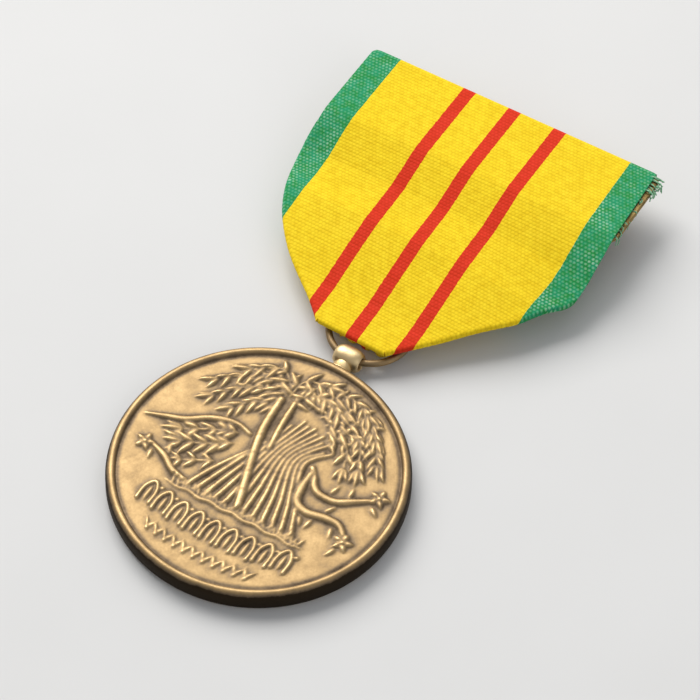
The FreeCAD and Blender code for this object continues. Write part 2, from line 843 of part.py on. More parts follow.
def export(parts):
    """Writes each sub-part's shape to parts/LABEL.step."""
    os.makedirs("parts", exist_ok=True)
    for part in parts:
        shape = part.Shape
        if shape.isNull() or not shape.isValid() or not shape.Solids:
            raise RuntimeError(f"{part.Label} has no valid solid")
        shape.exportStep(f"parts/{part.Label}.step")
        box = shape.optimalBoundingBox(False)
        print(
            f"{part.Label:22s} solids {len(shape.Solids)} volume {shape.Volume:9.3f}"
            f"  x {box.XMin:7.2f} {box.XMax:7.2f}  y {box.YMin:7.2f} {box.YMax:7.2f}"
            f"  z {box.ZMin:6.2f} {box.ZMax:6.2f}"
        )


def main():
    parts = [
        pendant_disc(),
        suspension_lug(),
        suspension_ring(),
        ribbon_front_panel(),
        flap("ribbon_flap_right", "right"),
        flap("ribbon_flap_left", "left"),
        ribbon_return_tab(),
        ribbon_loop(),
        tack_stitches(),
        brooch_front_shell(),
        brooch_back_plate(),
        hinge_bracket(),
        hinge_rivet(),
        pin_stem(),
        catch_housing(),
        catch_barrel(),
    ]
    doc.recompute()
    check_document()
    export(parts)


main()
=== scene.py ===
"""Looks of a round bronze service medal on a folded ribbon with a pin-back brooch bar.

The medal lies on its back: X runs across the ribbon, Y from the pendant to the brooch, Z out of the
obverse.  Shapes are worked out in millimetres and become metres as each mesh is made.
"""

import math

import bmesh
import bpy
import numpy as np
from mathutils import Matrix, Vector


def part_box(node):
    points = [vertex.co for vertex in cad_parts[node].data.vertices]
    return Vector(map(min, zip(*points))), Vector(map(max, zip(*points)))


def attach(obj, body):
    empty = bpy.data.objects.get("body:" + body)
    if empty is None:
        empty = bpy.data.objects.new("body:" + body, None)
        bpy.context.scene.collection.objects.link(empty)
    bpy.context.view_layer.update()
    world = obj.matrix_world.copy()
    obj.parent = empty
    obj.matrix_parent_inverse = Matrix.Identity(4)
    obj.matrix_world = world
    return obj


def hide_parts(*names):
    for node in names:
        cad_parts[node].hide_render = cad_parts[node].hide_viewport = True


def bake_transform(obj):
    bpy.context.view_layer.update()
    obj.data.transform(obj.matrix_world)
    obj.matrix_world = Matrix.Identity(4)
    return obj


MM = 0.001
TAU = 2 * math.pi
RNG = np.random.default_rng(11)

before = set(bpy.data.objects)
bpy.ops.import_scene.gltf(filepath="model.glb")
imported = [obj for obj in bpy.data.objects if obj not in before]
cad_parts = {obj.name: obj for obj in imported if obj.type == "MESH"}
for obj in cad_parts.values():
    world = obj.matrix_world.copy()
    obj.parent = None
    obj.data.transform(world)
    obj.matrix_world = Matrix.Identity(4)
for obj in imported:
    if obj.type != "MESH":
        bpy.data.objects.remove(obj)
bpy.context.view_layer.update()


def millimetres(node):
    """A CAD node's lowest and highest corners in millimetres."""
    low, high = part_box(node)
    return np.array(low) / MM, np.array(high) / MM


DISC_LOW, DISC_HIGH = millimetres("pendant_disc")
RING_LOW, RING_HIGH = millimetres("suspension_ring")
LUG_LOW, LUG_HIGH = millimetres("suspension_lug")
PANEL_LOW, PANEL_HIGH = millimetres("ribbon_front_panel")
TAB_LOW, TAB_HIGH = millimetres("ribbon_return_tab")
SHELL_LOW, SHELL_HIGH = millimetres("brooch_front_shell")
PLATE_LOW, PLATE_HIGH = millimetres("brooch_back_plate")
BRACKET_LOW, BRACKET_HIGH = millimetres("hinge_bracket")
HOUSING_LOW, HOUSING_HIGH = millimetres("catch_housing")
BARREL_LOW, BARREL_HIGH = millimetres("catch_barrel")
LOOP_LOW = millimetres("ribbon_loop")[0]
PIN_HIGH = millimetres("pin_stem")[1]

PENDANT_CENTRE = (DISC_LOW + DISC_HIGH) / 2
THICKNESS = DISC_HIGH[2] - DISC_LOW[2]
RING_CENTRE = (RING_LOW + RING_HIGH) / 2
RIBBON_X = (PANEL_LOW[0] + PANEL_HIGH[0]) / 2


# ------------------------------------------------------------------ meshes


def make_mesh(name, points, faces):
    """A smooth mesh object from points in millimetres and groups of faces."""
    flat = [face for group in faces for face in np.asarray(group).tolist()]
    mesh = bpy.data.meshes.new(name)
    mesh.from_pydata(np.asarray(points, float) * MM, [], flat, shade_flat=False)
    mesh.validate()
    thing = bpy.data.objects.new(name, mesh)
    bpy.context.scene.collection.objects.link(thing)
    return thing


def store(thing, name, values):
    """Keeps one number for each point, for the material to read."""
    attribute = thing.data.attributes.new(name, "FLOAT", "POINT")
    attribute.data.foreach_set("value", np.asarray(values, np.float32))


def grid_faces(rows, columns, first=0, wrap=False, closed=False):
    """Quads of a grid of points, row by row; wrap joins the last column to the first, closed the rows."""
    down = np.arange(rows if closed else rows - 1)
    across = np.arange(columns if wrap else columns - 1)
    i, j = np.meshgrid(down, across, indexing="ij")
    k, m = (j + 1) % columns, (i + 1) % rows
    quads = np.stack([i * columns + j, i * columns + k, m * columns + k, m * columns + j], -1)
    return quads.reshape(-1, 4) + first


def crosswise(path):
    """Two directions across a path at each of its points, turning as little as possible."""
    tangents = np.gradient(path, axis=0)
    tangents /= np.linalg.norm(tangents, axis=1, keepdims=True)
    guess = np.array([0.0, 0, 1]) if abs(tangents[0][2]) < 0.9 else np.array([1.0, 0, 0])
    sides = []
    for t in tangents:
        guess = guess - t * (guess @ t)
        guess /= np.linalg.norm(guess)
        sides.append(guess)
    sides = np.array(sides)
    return sides, np.cross(tangents, sides)


def circle(around):
    """Cosines and sines of evenly spaced turns."""
    angle = np.arange(around) * TAU / around
    return np.cos(angle), np.sin(angle)


def tube(path, radii, around):
    """Points and faces of a capped round tube along a path; radii is one number or one for each point."""
    path = np.asarray(path, float)
    radii = np.broadcast_to(np.asarray(radii, float), len(path))
    side, up = crosswise(path)
    c, s = circle(around)
    hoops = c[None, :, None] * side[:, None] + s[None, :, None] * up[:, None]
    points = (path[:, None] + hoops * radii[:, None, None]).reshape(-1, 3)
    first, last = len(points), len(points) + 1
    k = np.arange(around)
    following = (k + 1) % around
    shift = first - around
    start = np.stack([np.full(around, first), following, k], -1)
    end = np.stack([np.full(around, last), shift + k, shift + following], -1)
    quads = grid_faces(len(path), around, wrap=True)
    return np.vstack([points, path[0], path[-1]]), [quads, np.vstack([start, end])]


def lathe(profile, around):
    """Points and faces of a closed loop of (radius, height) pairs turned about the Z axis."""
    radii, heights = np.asarray(profile, float).T
    c, s = circle(around)
    points = np.stack([np.outer(c, radii), np.outer(s, radii), np.tile(heights, (around, 1))], -1)
    quads = grid_faces(around, len(profile), wrap=True, closed=True)
    return points.reshape(-1, 3), [quads[:, [0, 3, 2, 1]]]


def slab(outline, low, high, axis="z"):
    """Points and faces of a flat outline, walked anticlockwise, from low to high along an axis."""
    count = len(outline)
    under = np.column_stack([outline, np.full(count, low)])
    over = np.column_stack([outline, np.full(count, high)])
    order = {"z": [0, 1, 2], "x": [2, 0, 1], "y": [1, 2, 0]}[axis]
    k = np.arange(count)
    walls = np.stack([k, (k + 1) % count, count + (k + 1) % count, count + k], -1)
    return np.vstack([under, over])[:, order], [walls, k[None, ::-1], count + k[None]]


def joined(parts):
    """One set of points and faces out of several."""
    points, faces, first = [], [], 0
    for some_points, some_faces in parts:
        points.append(some_points)
        faces += [np.asarray(f) + first for f in some_faces]
        first += len(some_points)
    return np.vstack(points), faces


def turned(points, axis, degrees):
    """Points turned about an axis through the origin."""
    return points @ np.array(Matrix.Rotation(math.radians(degrees), 3, Vector(axis))).T


def eased(part, width, angle=40):
    """A part with its sharp edges rounded off; width is in millimetres."""
    points, faces = part
    shape = bmesh.new()
    corners = [shape.verts.new(point) for point in points]
    for group in faces:
        for face in group:
            shape.faces.new([corners[k] for k in face])
    shape.normal_update()
    sharp = [edge for edge in shape.edges if edge.calc_face_angle(0) > math.radians(angle)]
    bmesh.ops.bevel(
        shape, geom=sharp, offset=width, segments=3, profile=0.5, affect="EDGES", clamp_overlap=True
    )
    shape.verts.index_update()
    points = np.array([corner.co[:] for corner in shape.verts])
    by_size = {}
    for face in shape.faces:
        by_size.setdefault(len(face.verts), []).append([corner.index for corner in face.verts])
    shape.free()
    return points, list(by_size.values())


# ------------------------------------------------------------------ materials


class Nodes:
    """A material's node tree, with short calls to add and join its nodes."""

    def __init__(self, name, roughness=0.5, metallic=0.0):
        self.material = bpy.data.materials.new(name)
        self.material.use_nodes = True
        self.tree = self.material.node_tree
        self.shader = self.tree.nodes["Principled BSDF"]
        self.shader.inputs["Roughness"].default_value = roughness
        self.shader.inputs["Metallic"].default_value = metallic

    def add(self, kind, inputs=None, **settings):
        made = self.tree.nodes.new(kind)
        for key, value in settings.items():
            setattr(made, key, value)
        for key, value in (inputs or {}).items():
            self.put(value, made.inputs[key])
        return made

    def put(self, value, socket):
        """Joins a socket or sets a plain value."""
        if isinstance(value, bpy.types.NodeSocket):
            self.tree.links.new(value, socket)
        else:
            socket.default_value = value

    def shade(self, name, value):
        self.put(value, self.shader.inputs[name])

    def maths(self, operation, a, b=0.0, c=0.0):
        made = self.add("ShaderNodeMath", operation=operation)
        for socket, value in zip(made.inputs, (a, b, c)):
            self.put(value, socket)
        return made.outputs[0]

    def attribute(self, name):
        return self.add("ShaderNodeAttribute", attribute_name=name).outputs["Fac"]

    def where(self):
        return self.add("ShaderNodeTexCoord").outputs["Object"]

    def drawn_out(self, share):
        """Places squeezed lengthwise, so that a noise read there is drawn out into streaks."""
        return self.add("ShaderNodeMapping", {"Vector": self.where(), "Scale": (share, 1.0, 1.0)}).outputs[0]

    def waves(self, number):
        """Rises and falls once for each whole number."""
        return self.maths("ABSOLUTE", self.maths("SINE", self.maths("MULTIPLY", number, math.pi)))

    def noise(self, size, detail=3.0, roughness=0.55, at=None):
        """Noise from 0 to 1 whose blobs are about size millimetres wide."""
        at = at or self.where()
        inputs = {"Vector": at, "Scale": 1 / (size * MM), "Detail": detail, "Roughness": roughness}
        return self.add("ShaderNodeTexNoise", inputs).outputs["Fac"]

    def scale(self, value, low, high, to_low, to_high):
        inputs = {"Value": value, "From Min": low, "From Max": high, "To Min": to_low, "To Max": to_high}
        return self.add("ShaderNodeMapRange", inputs).outputs["Result"]

    def ramp(self, value, stops, steps=False):
        made = self.add("ShaderNodeValToRGB", {"Fac": value})
        made.color_ramp.interpolation = "CONSTANT" if steps else "LINEAR"
        slots = made.color_ramp.elements
        while len(slots) < len(stops):
            slots.new(0.5)
        for slot, (position, colour) in zip(slots, stops):
            slot.position = position
            slot.color = (*colour, 1.0)
        return made.outputs["Color"]

    def mix(self, share, a, b, blend="MIX"):
        made = self.add("ShaderNodeMix", data_type="RGBA", blend_type=blend)
        self.put(share, made.inputs["Factor"])
        self.put(a if isinstance(a, bpy.types.NodeSocket) else (*a, 1.0), made.inputs[6])
        self.put(b if isinstance(b, bpy.types.NodeSocket) else (*b, 1.0), made.inputs[7])
        return made.outputs[2]

    def bump(self, height, depth):
        """Bump whose height runs from 0 to 1 over depth millimetres."""
        made = self.add("ShaderNodeBump", {"Height": height, "Distance": depth * MM, "Strength": 1.0})
        self.shade("Normal", made.outputs["Normal"])


def bronze_material():
    """Struck bronze: dark toning in the hollows, tan on the field, rubbed golden on the high spots; painted
    shade on the pendant's outer wall and a painted highlight on the bead.
    """
    n = Nodes("antique_bronze", metallic=1.0)
    # The tone attribute holds wear and toning, and also painted shade on the pendant's outer wall and a
    # painted highlight on the bead.
    patina_and_painted_light = n.attribute("patina_and_painted_light")
    cloud = n.noise(2.2, detail=5)
    speck = n.noise(0.28, detail=3)
    tone = n.maths("MULTIPLY_ADD", cloud, 0.55, n.maths("SUBTRACT", patina_and_painted_light, 0.275))
    tone = n.maths("MULTIPLY_ADD", speck, 0.22, n.maths("SUBTRACT", tone, 0.11))
    colour = n.ramp(
        tone,
        [
            (0.0, (0.035, 0.024, 0.014)),
            (0.14, (0.150, 0.108, 0.070)),
            (0.30, (0.250, 0.180, 0.108)),
            (0.50, (0.385, 0.262, 0.128)),
            (0.75, (0.555, 0.384, 0.188)),
            (1.0, (0.780, 0.590, 0.320)),
        ],
    )
    n.shade("Base Color", colour)
    n.shade("Roughness", n.scale(tone, 0.0, 1.0, 0.68, 0.44))
    n.bump(n.maths("MULTIPLY_ADD", n.noise(0.12), 0.5, n.maths("MULTIPLY", speck, 0.8)), 0.018)
    return n.material


def brass_material():
    """Worn gilt brass with faint scratches and a browner film in patches."""
    n = Nodes("gilt_brass", metallic=1.0)
    film = n.noise(1.8, detail=5)
    scratch = n.noise(0.12, detail=2, at=n.drawn_out(0.12))
    browns = [(0.30, (0.17, 0.110, 0.038)), (0.52, (0.36, 0.245, 0.092)), (0.75, (0.54, 0.385, 0.165))]
    n.shade("Base Color", n.ramp(film, browns))
    n.shade("Roughness", n.scale(n.maths("ADD", film, scratch), 0.6, 1.5, 0.42, 0.22))
    n.bump(scratch, 0.006)
    return n.material


def steel_material():
    """Nickel-plated spring steel, drawn lengthwise."""
    n = Nodes("pin_steel", metallic=1.0)
    drawn = n.noise(0.08, detail=2, at=n.drawn_out(0.05))
    film = n.noise(2.5)
    n.shade("Base Color", n.ramp(film, [(0.3, (0.50, 0.49, 0.46)), (0.7, (0.74, 0.73, 0.71))]))
    n.shade("Roughness", n.scale(drawn, 0.3, 0.7, 0.20, 0.36))
    n.bump(drawn, 0.004)
    return n.material


# Spacings of the cloth's ribs, and of the threads drawn along it and across it.
RIB_PITCH = 0.60
WEFT_PITCH = 0.40
WARP_PITCH = 0.42
YELLOW, RED, GREEN = (0.91, 0.635, 0.008), (0.70, 0.032, 0.006), (0.016, 0.295, 0.092)
RIBBON_HALF = 17.5
GREEN_WIDTH, RED_WIDTH, RED_SPACING = 3.175, 1.59, 5.585
RED_EDGES = [RIBBON_HALF + k * RED_SPACING + side * RED_WIDTH / 2 for k in (-1, 0, 1) for side in (-1, 1)]
# Distances of the stripes' edges from the ribbon's left edge.
STRIPE_EDGES = [GREEN_WIDTH, *RED_EDGES, 2 * RIBBON_HALF - GREEN_WIDTH]


def ribbon_material():
    """Ribbed silk-like weave; the stripes and threads follow the cloth's own two directions."""
    n = Nodes("ribbon_weave", roughness=0.72)
    across, along = n.attribute("across"), n.attribute("along")
    wander = n.maths("MULTIPLY_ADD", n.noise(0.5), 0.16, n.maths("SUBTRACT", across, 0.08))
    place = n.maths("DIVIDE", n.maths("ADD", wander, RIBBON_HALF), 2 * RIBBON_HALF)
    bands = (GREEN, YELLOW, RED, YELLOW, RED, YELLOW, RED, YELLOW, GREEN)
    starts = (0.0, *(edge / (2 * RIBBON_HALF) for edge in STRIPE_EDGES))
    stripes = n.ramp(place, list(zip(starts, bands)), steps=True)

    rib_number = n.maths("DIVIDE", along, WEFT_PITCH)
    rib = n.waves(rib_number)
    stagger = n.maths("MULTIPLY", n.maths("FLOOR", rib_number), 0.5)
    warp_number = n.maths("ADD", n.maths("DIVIDE", across, WARP_PITCH), stagger)
    warp = n.waves(warp_number)
    thread = n.maths("MULTIPLY", n.maths("POWER", rib, 0.5), n.maths("MULTIPLY_ADD", warp, 0.6, 0.4))
    fibre = n.noise(0.16, detail=4)
    patchy = n.noise(0.8, detail=5, roughness=0.7)

    # Painted shade in the gaps between the threads and painted highlight on their tops, over small random
    # patches of darker tone.
    shade = n.maths("MULTIPLY_ADD", patchy, 0.45, n.maths("MULTIPLY", thread, 0.70))
    greys = [(0.10, (0.76, 0.68, 0.60)), (0.50, (0.95, 0.95, 0.95)), (0.95, (1.07, 1.07, 1.07))]
    light = n.ramp(shade, greys)
    mottle = n.ramp(n.noise(0.75, detail=2), [(0.36, (0.93, 0.91, 0.62)), (0.64, (1.03, 1.06, 1.50))])
    cloth = n.mix(1.0, n.mix(1.0, stripes, light, "MULTIPLY"), mottle, "MULTIPLY")
    # Painted highlights: pale glints on the thread tops, almost only on the green edges, stronger in broad
    # patches.
    pale = n.mix(1.0, stripes, (0.66, 0.85, 0.66), "SCREEN")
    is_green = n.maths("GREATER_THAN", n.maths("ABSOLUTE", across), RIBBON_HALF - GREEN_WIDTH)
    painted_glint_strength = n.scale(n.noise(4.5, detail=1), 0.42, 0.66, 0.22, 0.62)
    painted_glint = n.scale(n.maths("MULTIPLY", thread, patchy), 0.28, 0.64, 0.0, painted_glint_strength)
    painted_glint = n.maths("MULTIPLY", painted_glint, n.maths("MULTIPLY_ADD", is_green, 0.97, 0.03))
    n.shade("Base Color", n.mix(painted_glint, cloth, pale))
    n.shade("Specular IOR Level", 0.16)
    n.shade("Sheen Weight", 0.03)
    n.shade("Sheen Roughness", 0.45)
    n.bump(n.maths("MULTIPLY_ADD", fibre, 0.4, thread), 0.035)
    return n.material


def thread_material(name, dark, pale):
    """Spun thread, paler where its fibres catch the light."""
    n = Nodes(name, roughness=0.8)
    n.shade("Base Color", n.ramp(n.noise(0.15, detail=4), [(0.3, dark), (0.7, pale)]))
    n.shade("Sheen Weight", 0.3)
    n.bump(n.noise(0.06), 0.02)
    return n.material


def floor_material():
    """Plain pale backdrop."""
    n = Nodes("pale_floor", roughness=0.85)
    greys = [(0.3, (0.70, 0.697, 0.690)), (0.7, (0.72, 0.717, 0.710))]
    n.shade("Base Color", n.ramp(n.noise(30.0), greys))
    return n.material


BRONZE = bronze_material()
BRASS = brass_material()
STEEL = steel_material()
RIBBON = ribbon_material()
STITCH_THREAD = thread_material("stitch_thread", (0.62, 0.44, 0.05), (0.85, 0.70, 0.22))
GREEN_THREAD = thread_material("green_thread", (0.06, 0.33, 0.15), (0.42, 0.70, 0.44))


def dress(thing, material, body):
    """Gives a piece its material and its body."""
    thing.data.materials.append(material)
    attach(thing, body)
    return thing


# ------------------------------------------------------------------ struck relief


class Relief:
    """Heights over a flat face, built up from strokes and leaves; all in millimetres."""

    def __init__(self, x, y):
        self.x, self.y = x, y
        self.height = np.zeros_like(x)

    def near(self, points, reach):
        """Which grid points lie in the box round some points."""
        low, high = np.min(points, 0) - reach, np.max(points, 0) + reach
        return (self.x > low[0]) & (self.x < high[0]) & (self.y > low[1]) & (self.y < high[1])

    def lay(self, where, share, height, base, groove):
        """Adds a form: share is the distance from its middle line over its half width."""
        old = self.height[where]
        inside = share < 1
        beside = (share >= 1) & (share < 1 + groove)
        old = np.where(beside, old * (0.5 + 0.5 * (share - 1) / groove), old)
        self.height[where] = np.where(inside, np.maximum(old * 0.5, base + height), old)

    def stroke(self, path, width, height, base, ends=(0.5, 0.5), groove=0.6, knots=0.0):
        """A rounded bead along a path, tapering to its ends; knots is the spacing of its joints."""
        path = np.asarray(path, float)
        where = self.near(path, width)
        px, py = self.x[where], self.y[where]
        best = np.full(px.shape, 1e9)
        along = np.zeros(px.shape)
        steps = np.linalg.norm(np.diff(path, axis=0), axis=1)
        total, done = steps.sum(), 0.0
        for a, b, length in zip(path[:-1], path[1:], steps):
            d = (b - a) / length
            t = np.clip((px - a[0]) * d[0] + (py - a[1]) * d[1], 0, length)
            gap = np.hypot(px - a[0] - d[0] * t, py - a[1] - d[1] * t)
            closer = gap < best
            best = np.where(closer, gap, best)
            along = np.where(closer, done + t, along)
            done += length
        t = along / total
        grow = np.interp(t, (0, 0.25, 0.7, 1), (ends[0], 1, 1, ends[1]))
        share = best / (0.5 * width * grow)
        bead = height * grow * np.sqrt(np.clip(1 - share**2, 0, 1))
        if knots:
            joint = np.abs((along / knots) % 1 - 0.5) * 2
            bead *= 1 - 0.35 * np.exp(-(((1 - joint) * knots / 0.14) ** 2))
        self.lay(where, share, bead, base, groove)

    def leaf(self, x, y, angle, length, width, height, base=0.0, groove=0.5):
        """A pointed leaf with a sharp midrib, from its stalk end at x, y towards angle in degrees."""
        c, s = math.cos(math.radians(angle)), math.sin(math.radians(angle))
        tip = (x + c * length, y + s * length)
        where = self.near(np.array([(x, y), tip]), width)
        px, py = self.x[where] - x, self.y[where] - y
        t = (px * c + py * s) / length
        side = np.abs(-px * s + py * c)
        inside = np.clip(t, 0, 1)
        half = 0.5 * width * (np.sin(math.pi * inside**0.75) ** 0.85 + 0.02)
        share = np.where((t > -0.05) & (t < 1.05), side / half, 9.0)
        roof = height * np.clip(1 - share, 0, 1) ** 0.7 * (0.5 + 0.5 * np.sin(math.pi * inside))
        self.lay(where, share, roof, base, groove)

    def dot(self, x, y, radius, height, base=0.0):
        """A round bead."""
        where = self.near(np.array([(x, y)]), radius * 1.6)
        share = np.hypot(self.x[where] - x, self.y[where] - y) / radius
        self.lay(where, share, height * np.sqrt(np.clip(1 - share**2, 0, 1)), base, 0.4)


def bend(points, count=24):
    """A smooth path of count points through a few given ones."""
    points = np.asarray(points, float)
    spots = np.linspace(0, len(points) - 1, count)
    i = np.clip(spots.astype(int), 0, len(points) - 2)
    t = (spots - i)[:, None]
    before = points[np.clip(i - 1, 0, None)]
    after = points[np.clip(i + 2, None, len(points) - 1)]
    a, b = points[i], points[i + 1]
    m, n = (b - before) / 2, (after - a) / 2
    start = (2 * t**3 - 3 * t**2 + 1) * a + (t**3 - 2 * t**2 + t) * m
    return start + (3 * t**2 - 2 * t**3) * b + (t**3 - t**2) * n


def flower(relief, x, y, size, base):
    """Five petals round a bead."""
    for k in range(5):
        relief.leaf(x, y, 90 + k * 72, size, size * 0.62, 0.20, base)
    relief.dot(x, y, size * 0.24, 0.26, base)


def bough(relief, stem, leaf_length, spacing, droop, base):
    """A thin stem with pointed leaves on both sides that hang by droop degrees."""
    path = bend(stem, 48)
    step = np.diff(path, axis=0)
    length = np.linalg.norm(step, axis=1).sum()
    count = max(int(length / spacing), 3)
    for i in np.linspace(3, len(step) - 1, count).astype(int):
        heading = math.degrees(math.atan2(step[i][1], step[i][0]))
        for side in (-1, 1):
            turn = math.radians(heading + side * RNG.uniform(28, 52))
            fall = math.degrees(math.atan2(math.sin(turn) - droop, math.cos(turn)))
            size = leaf_length * RNG.uniform(0.8, 1.15)
            relief.leaf(*path[i], fall, size, 0.36 * size, 0.22, base + RNG.uniform(0, 0.07), groove=0.35)
    relief.stroke(path, 0.26, 0.12, base, ends=(1.0, 0.4), groove=0.2)
    relief.leaf(*path[-1], heading - 8, leaf_length, 0.36 * leaf_length, 0.22, base)


def canopy(relief):
    """Drooping boughs that spread from the heads of the stalks."""
    boughs = (
        ((-2.6, 8.2), (-4.8, 7.4), (-6.6, 5.4)),
        ((-2.8, 9.0), (-6.0, 8.8), (-9.2, 5.6)),
        ((-2.6, 9.6), (-6.2, 10.6), (-10.0, 7.6)),
        ((-2.4, 10.2), (-4.6, 12.3), (-7.6, 10.6)),
        ((4.2, 7.0), (6.2, 7.4), (7.4, 4.8)),
        ((3.6, 7.8), (6.8, 8.8), (8.8, 5.4)),
        ((3.0, 8.6), (7.2, 10.6), (10.2, 7.0)),
        ((2.0, 9.2), (5.4, 11.8), (8.6, 9.6)),
        ((0.4, 9.6), (2.8, 12.8), (6.2, 12.0)),
        ((-1.6, 9.2), (0.6, 11.4), (3.4, 10.6)),
        ((-2.2, 9.8), (-1.8, 12.2), (0.8, 13.0)),
    )
    for stem in boughs:
        bough(relief, stem, 2.0, 1.0, 0.5, RNG.uniform(0.02, 0.10))


def grove(relief):
    """Jointed stalks that rise from the ground into the leaves, and one stouter trunk."""
    count = 12
    feet = np.linspace(-5.5, 7.3, count)
    waists = np.linspace(-1.9, 3.7, count)
    heads = np.linspace(-1.4, 6.4, count)
    tops = (2.6, 3.4, 6.6, 7.8, 7.4, 7.6, 7.0, 7.2, 6.4, 6.6, 5.4, 5.6)
    for foot, waist, head, top in zip(feet, waists, heads, tops):
        middle = 0.62 * foot + 0.38 * waist
        end = waist + (head - waist) * max(top - 2.8, 0.2) / 4.5
        path = bend([(foot, -5.7), (middle, -2.3), (waist, min(2.8, top - 0.6)), (end, top)])
        relief.stroke(path, 0.62, 0.22, 0.03, ends=(1.0, 0.6), groove=0.4, knots=RNG.uniform(1.7, 2.3))
    trunk = bend([(0.7, -5.4), (0.0, -3.2), (-1.7, 1.9), (-2.5, 5.2), (-2.8, 8.9)])
    relief.stroke(trunk, 0.95, 0.28, 0.10, ends=(1.0, 0.8), groove=0.5, knots=2.4)
    branch = bend([(-0.5, 2.8), (-1.0, 6.0), (-1.3, 9.2)])
    relief.stroke(branch, 0.75, 0.24, 0.08, ends=(0.8, 0.8), groove=0.5, knots=2.2)


def creeper(relief):
    """A root that winds behind the stalks, with a leafy crown and flowering ends."""
    for stem, length in (
        (((-4.4, 2.8), (-6.4, 2.0), (-9.6, 0.2)), 2.3),
        (((-4.2, 1.4), (-6.2, 0.0), (-8.8, -1.2)), 2.1),
        (((-4.6, -1.6), (-6.2, -2.4), (-7.6, -3.2)), 1.5),
    ):
        bough(relief, stem, length, 1.05, 0.1, 0.06)
    back = bend([(-14.0, -0.1), (-12.1, 0.6), (-10.0, 1.4), (-7.7, 3.0), (-5.2, 3.8), (-3.2, 3.4)], 40)
    relief.stroke(back, 0.75, 0.22, 0.06, ends=(0.4, 0.6), groove=0.9)
    upper = [(4.6, 3.2), (5.4, 2.2), (6.1, 1.2), (7.1, 0.7), (8.9, 0.8), (10.6, 1.9), (12.0, 2.9)]
    lower = [(4.9, 2.4), (5.0, 0.4), (5.5, -1.3), (7.0, -1.9), (9.0, -1.5), (10.7, -1.5), (12.0, -2.6)]
    low_left = [(-5.7, -5.2), (-7.6, -4.8), (-9.3, -3.7), (-11.2, -3.0)]
    for stem, count, width in ((upper, 40, 0.85), (lower, 40, 0.95), (low_left, 30, 0.80)):
        relief.stroke(bend(stem, count), width, 0.25, 0.06, ends=(0.7, 0.6), groove=0.8)
    for x, y in ((-12.0, -3.2), (12.6, 3.5), (12.2, -3.2)):
        flower(relief, x, y, 1.2, 0.08)
    shoots = (
        (11.9, -4.2, -110),
        (10.2, -2.2, -70),
        (8.0, -2.4, -100),
        (12.4, 2.2, -40),
        (9.8, 1.9, 95),
        (7.9, 1.4, 75),
        (-10.9, -3.6, -80),
        (-9.0, -3.2, 120),
        (6.6, -2.6, -60),
        (8.6, -0.9, 60),
    )
    for x, y, turn in shoots:
        relief.leaf(x, y, turn, 1.4, 0.6, 0.19, 0.04)


def ground(relief):
    """Grass tufts on a broken ground line."""
    for x in np.arange(-6.8, 8.4, 0.66):
        for lean in (-22, 20):
            angle = 90 + lean + RNG.uniform(-9, 9)
            relief.leaf(x + RNG.uniform(-0.1, 0.1), -6.2, angle, RNG.uniform(0.9, 1.6), 0.34, 0.16, 0.04)
    line = [(x, -6.2 + 0.12 * math.sin(x * 2.3)) for x in np.arange(-7.6, 9.0, 0.4)]
    relief.stroke(line, 0.5, 0.16, 0.03)


def ornament(relief):
    """A frieze of small arches under the ground line, and a row of sprouts below it."""
    for k in range(-4, 5):
        x = k * 2.05
        y = -10.4 + 0.012 * x * x
        shape = ((-0.74, 0.0), (-0.70, 1.7), (0.0, 2.7), (0.70, 1.7), (0.74, 0.0))
        arch = bend([(x + right, y + up) for right, up in shape])
        relief.stroke(arch, 0.46, 0.20, 0.03, ends=(1.0, 1.0), groove=0.4)
        relief.leaf(x, y + 0.1, 90, 2.0, 0.62, 0.18, 0.03)
        relief.dot(x + 1.02, y + 2.3, 0.26, 0.18, 0.02)
    for k in range(-5, 6):
        x = k * 1.2
        y = -12.7 + 0.016 * x * x
        for side in (-1, 1):
            relief.leaf(x, y, 90 - side * 30, 1.3, 0.46, 0.16, 0.02)
        relief.dot(x, y - 0.1, 0.24, 0.16, 0.02)


def obverse_relief(x, y):
    """A grove with a creeper, the ground that it stands on and the ornament below."""
    relief = Relief(x, y)
    canopy(relief)
    grove(relief)
    creeper(relief)
    ground(relief)
    ornament(relief)
    return relief.height


def on_circle(radius, degrees):
    """The point at that turn on a circle round the disc's middle."""
    return radius * math.cos(math.radians(degrees)), radius * math.sin(math.radians(degrees))


def wreath_spot(radius, degrees, side):
    """The point at that turn up one side of the wreath, from the disc's foot."""
    a = math.radians(degrees)
    return side * radius * math.sin(a), -radius * math.cos(a)


def reverse_relief(x, y):
    """A laurel wreath round a plain rosette in a ring of beads."""
    relief = Relief(x, y)
    radius = 10.5
    for side in (-1, 1):
        stem = [wreath_spot(radius, turn, side) for turn in np.arange(8, 166, 3.0)]
        relief.stroke(stem, 0.5, 0.22, 0.03, ends=(1, 0.4))
        for turn in np.arange(16, 168, 8.5):
            sx, sy = wreath_spot(radius, turn, side)
            forward = turn if side > 0 else 180 - turn
            for lean in (-34, 34):
                relief.leaf(sx, sy, forward + lean, 2.5, 0.95, 0.27, 0.05)
            dx, dy = wreath_spot(0.4, turn, side)
            relief.dot(sx + dx, sy + dy, 0.24, 0.26, 0.06)
    for start, length, offset in ((1.1, 3.4, 0), (0.8, 2.3, 22.5)):
        for turn in np.arange(8) * 45 + offset:
            relief.leaf(*on_circle(start, turn), turn, length, 1.15, 0.26, 0.05)
    relief.dot(0, 0, 1.15, 0.30, 0.08)
    for turn in np.arange(0, 360, 6):
        relief.dot(*on_circle(6.4, turn), 0.22, 0.16, 0.0)
    return relief.height


def smoothed(field, passes):
    """A grid blurred by repeated averaging with its neighbours."""
    for _ in range(passes):
        padded = np.pad(field, 1, mode="edge")
        field = (padded[:-2, 1:-1] + padded[2:, 1:-1] + padded[1:-1, :-2] + padded[1:-1, 2:] + 4 * field) / 8
    return field


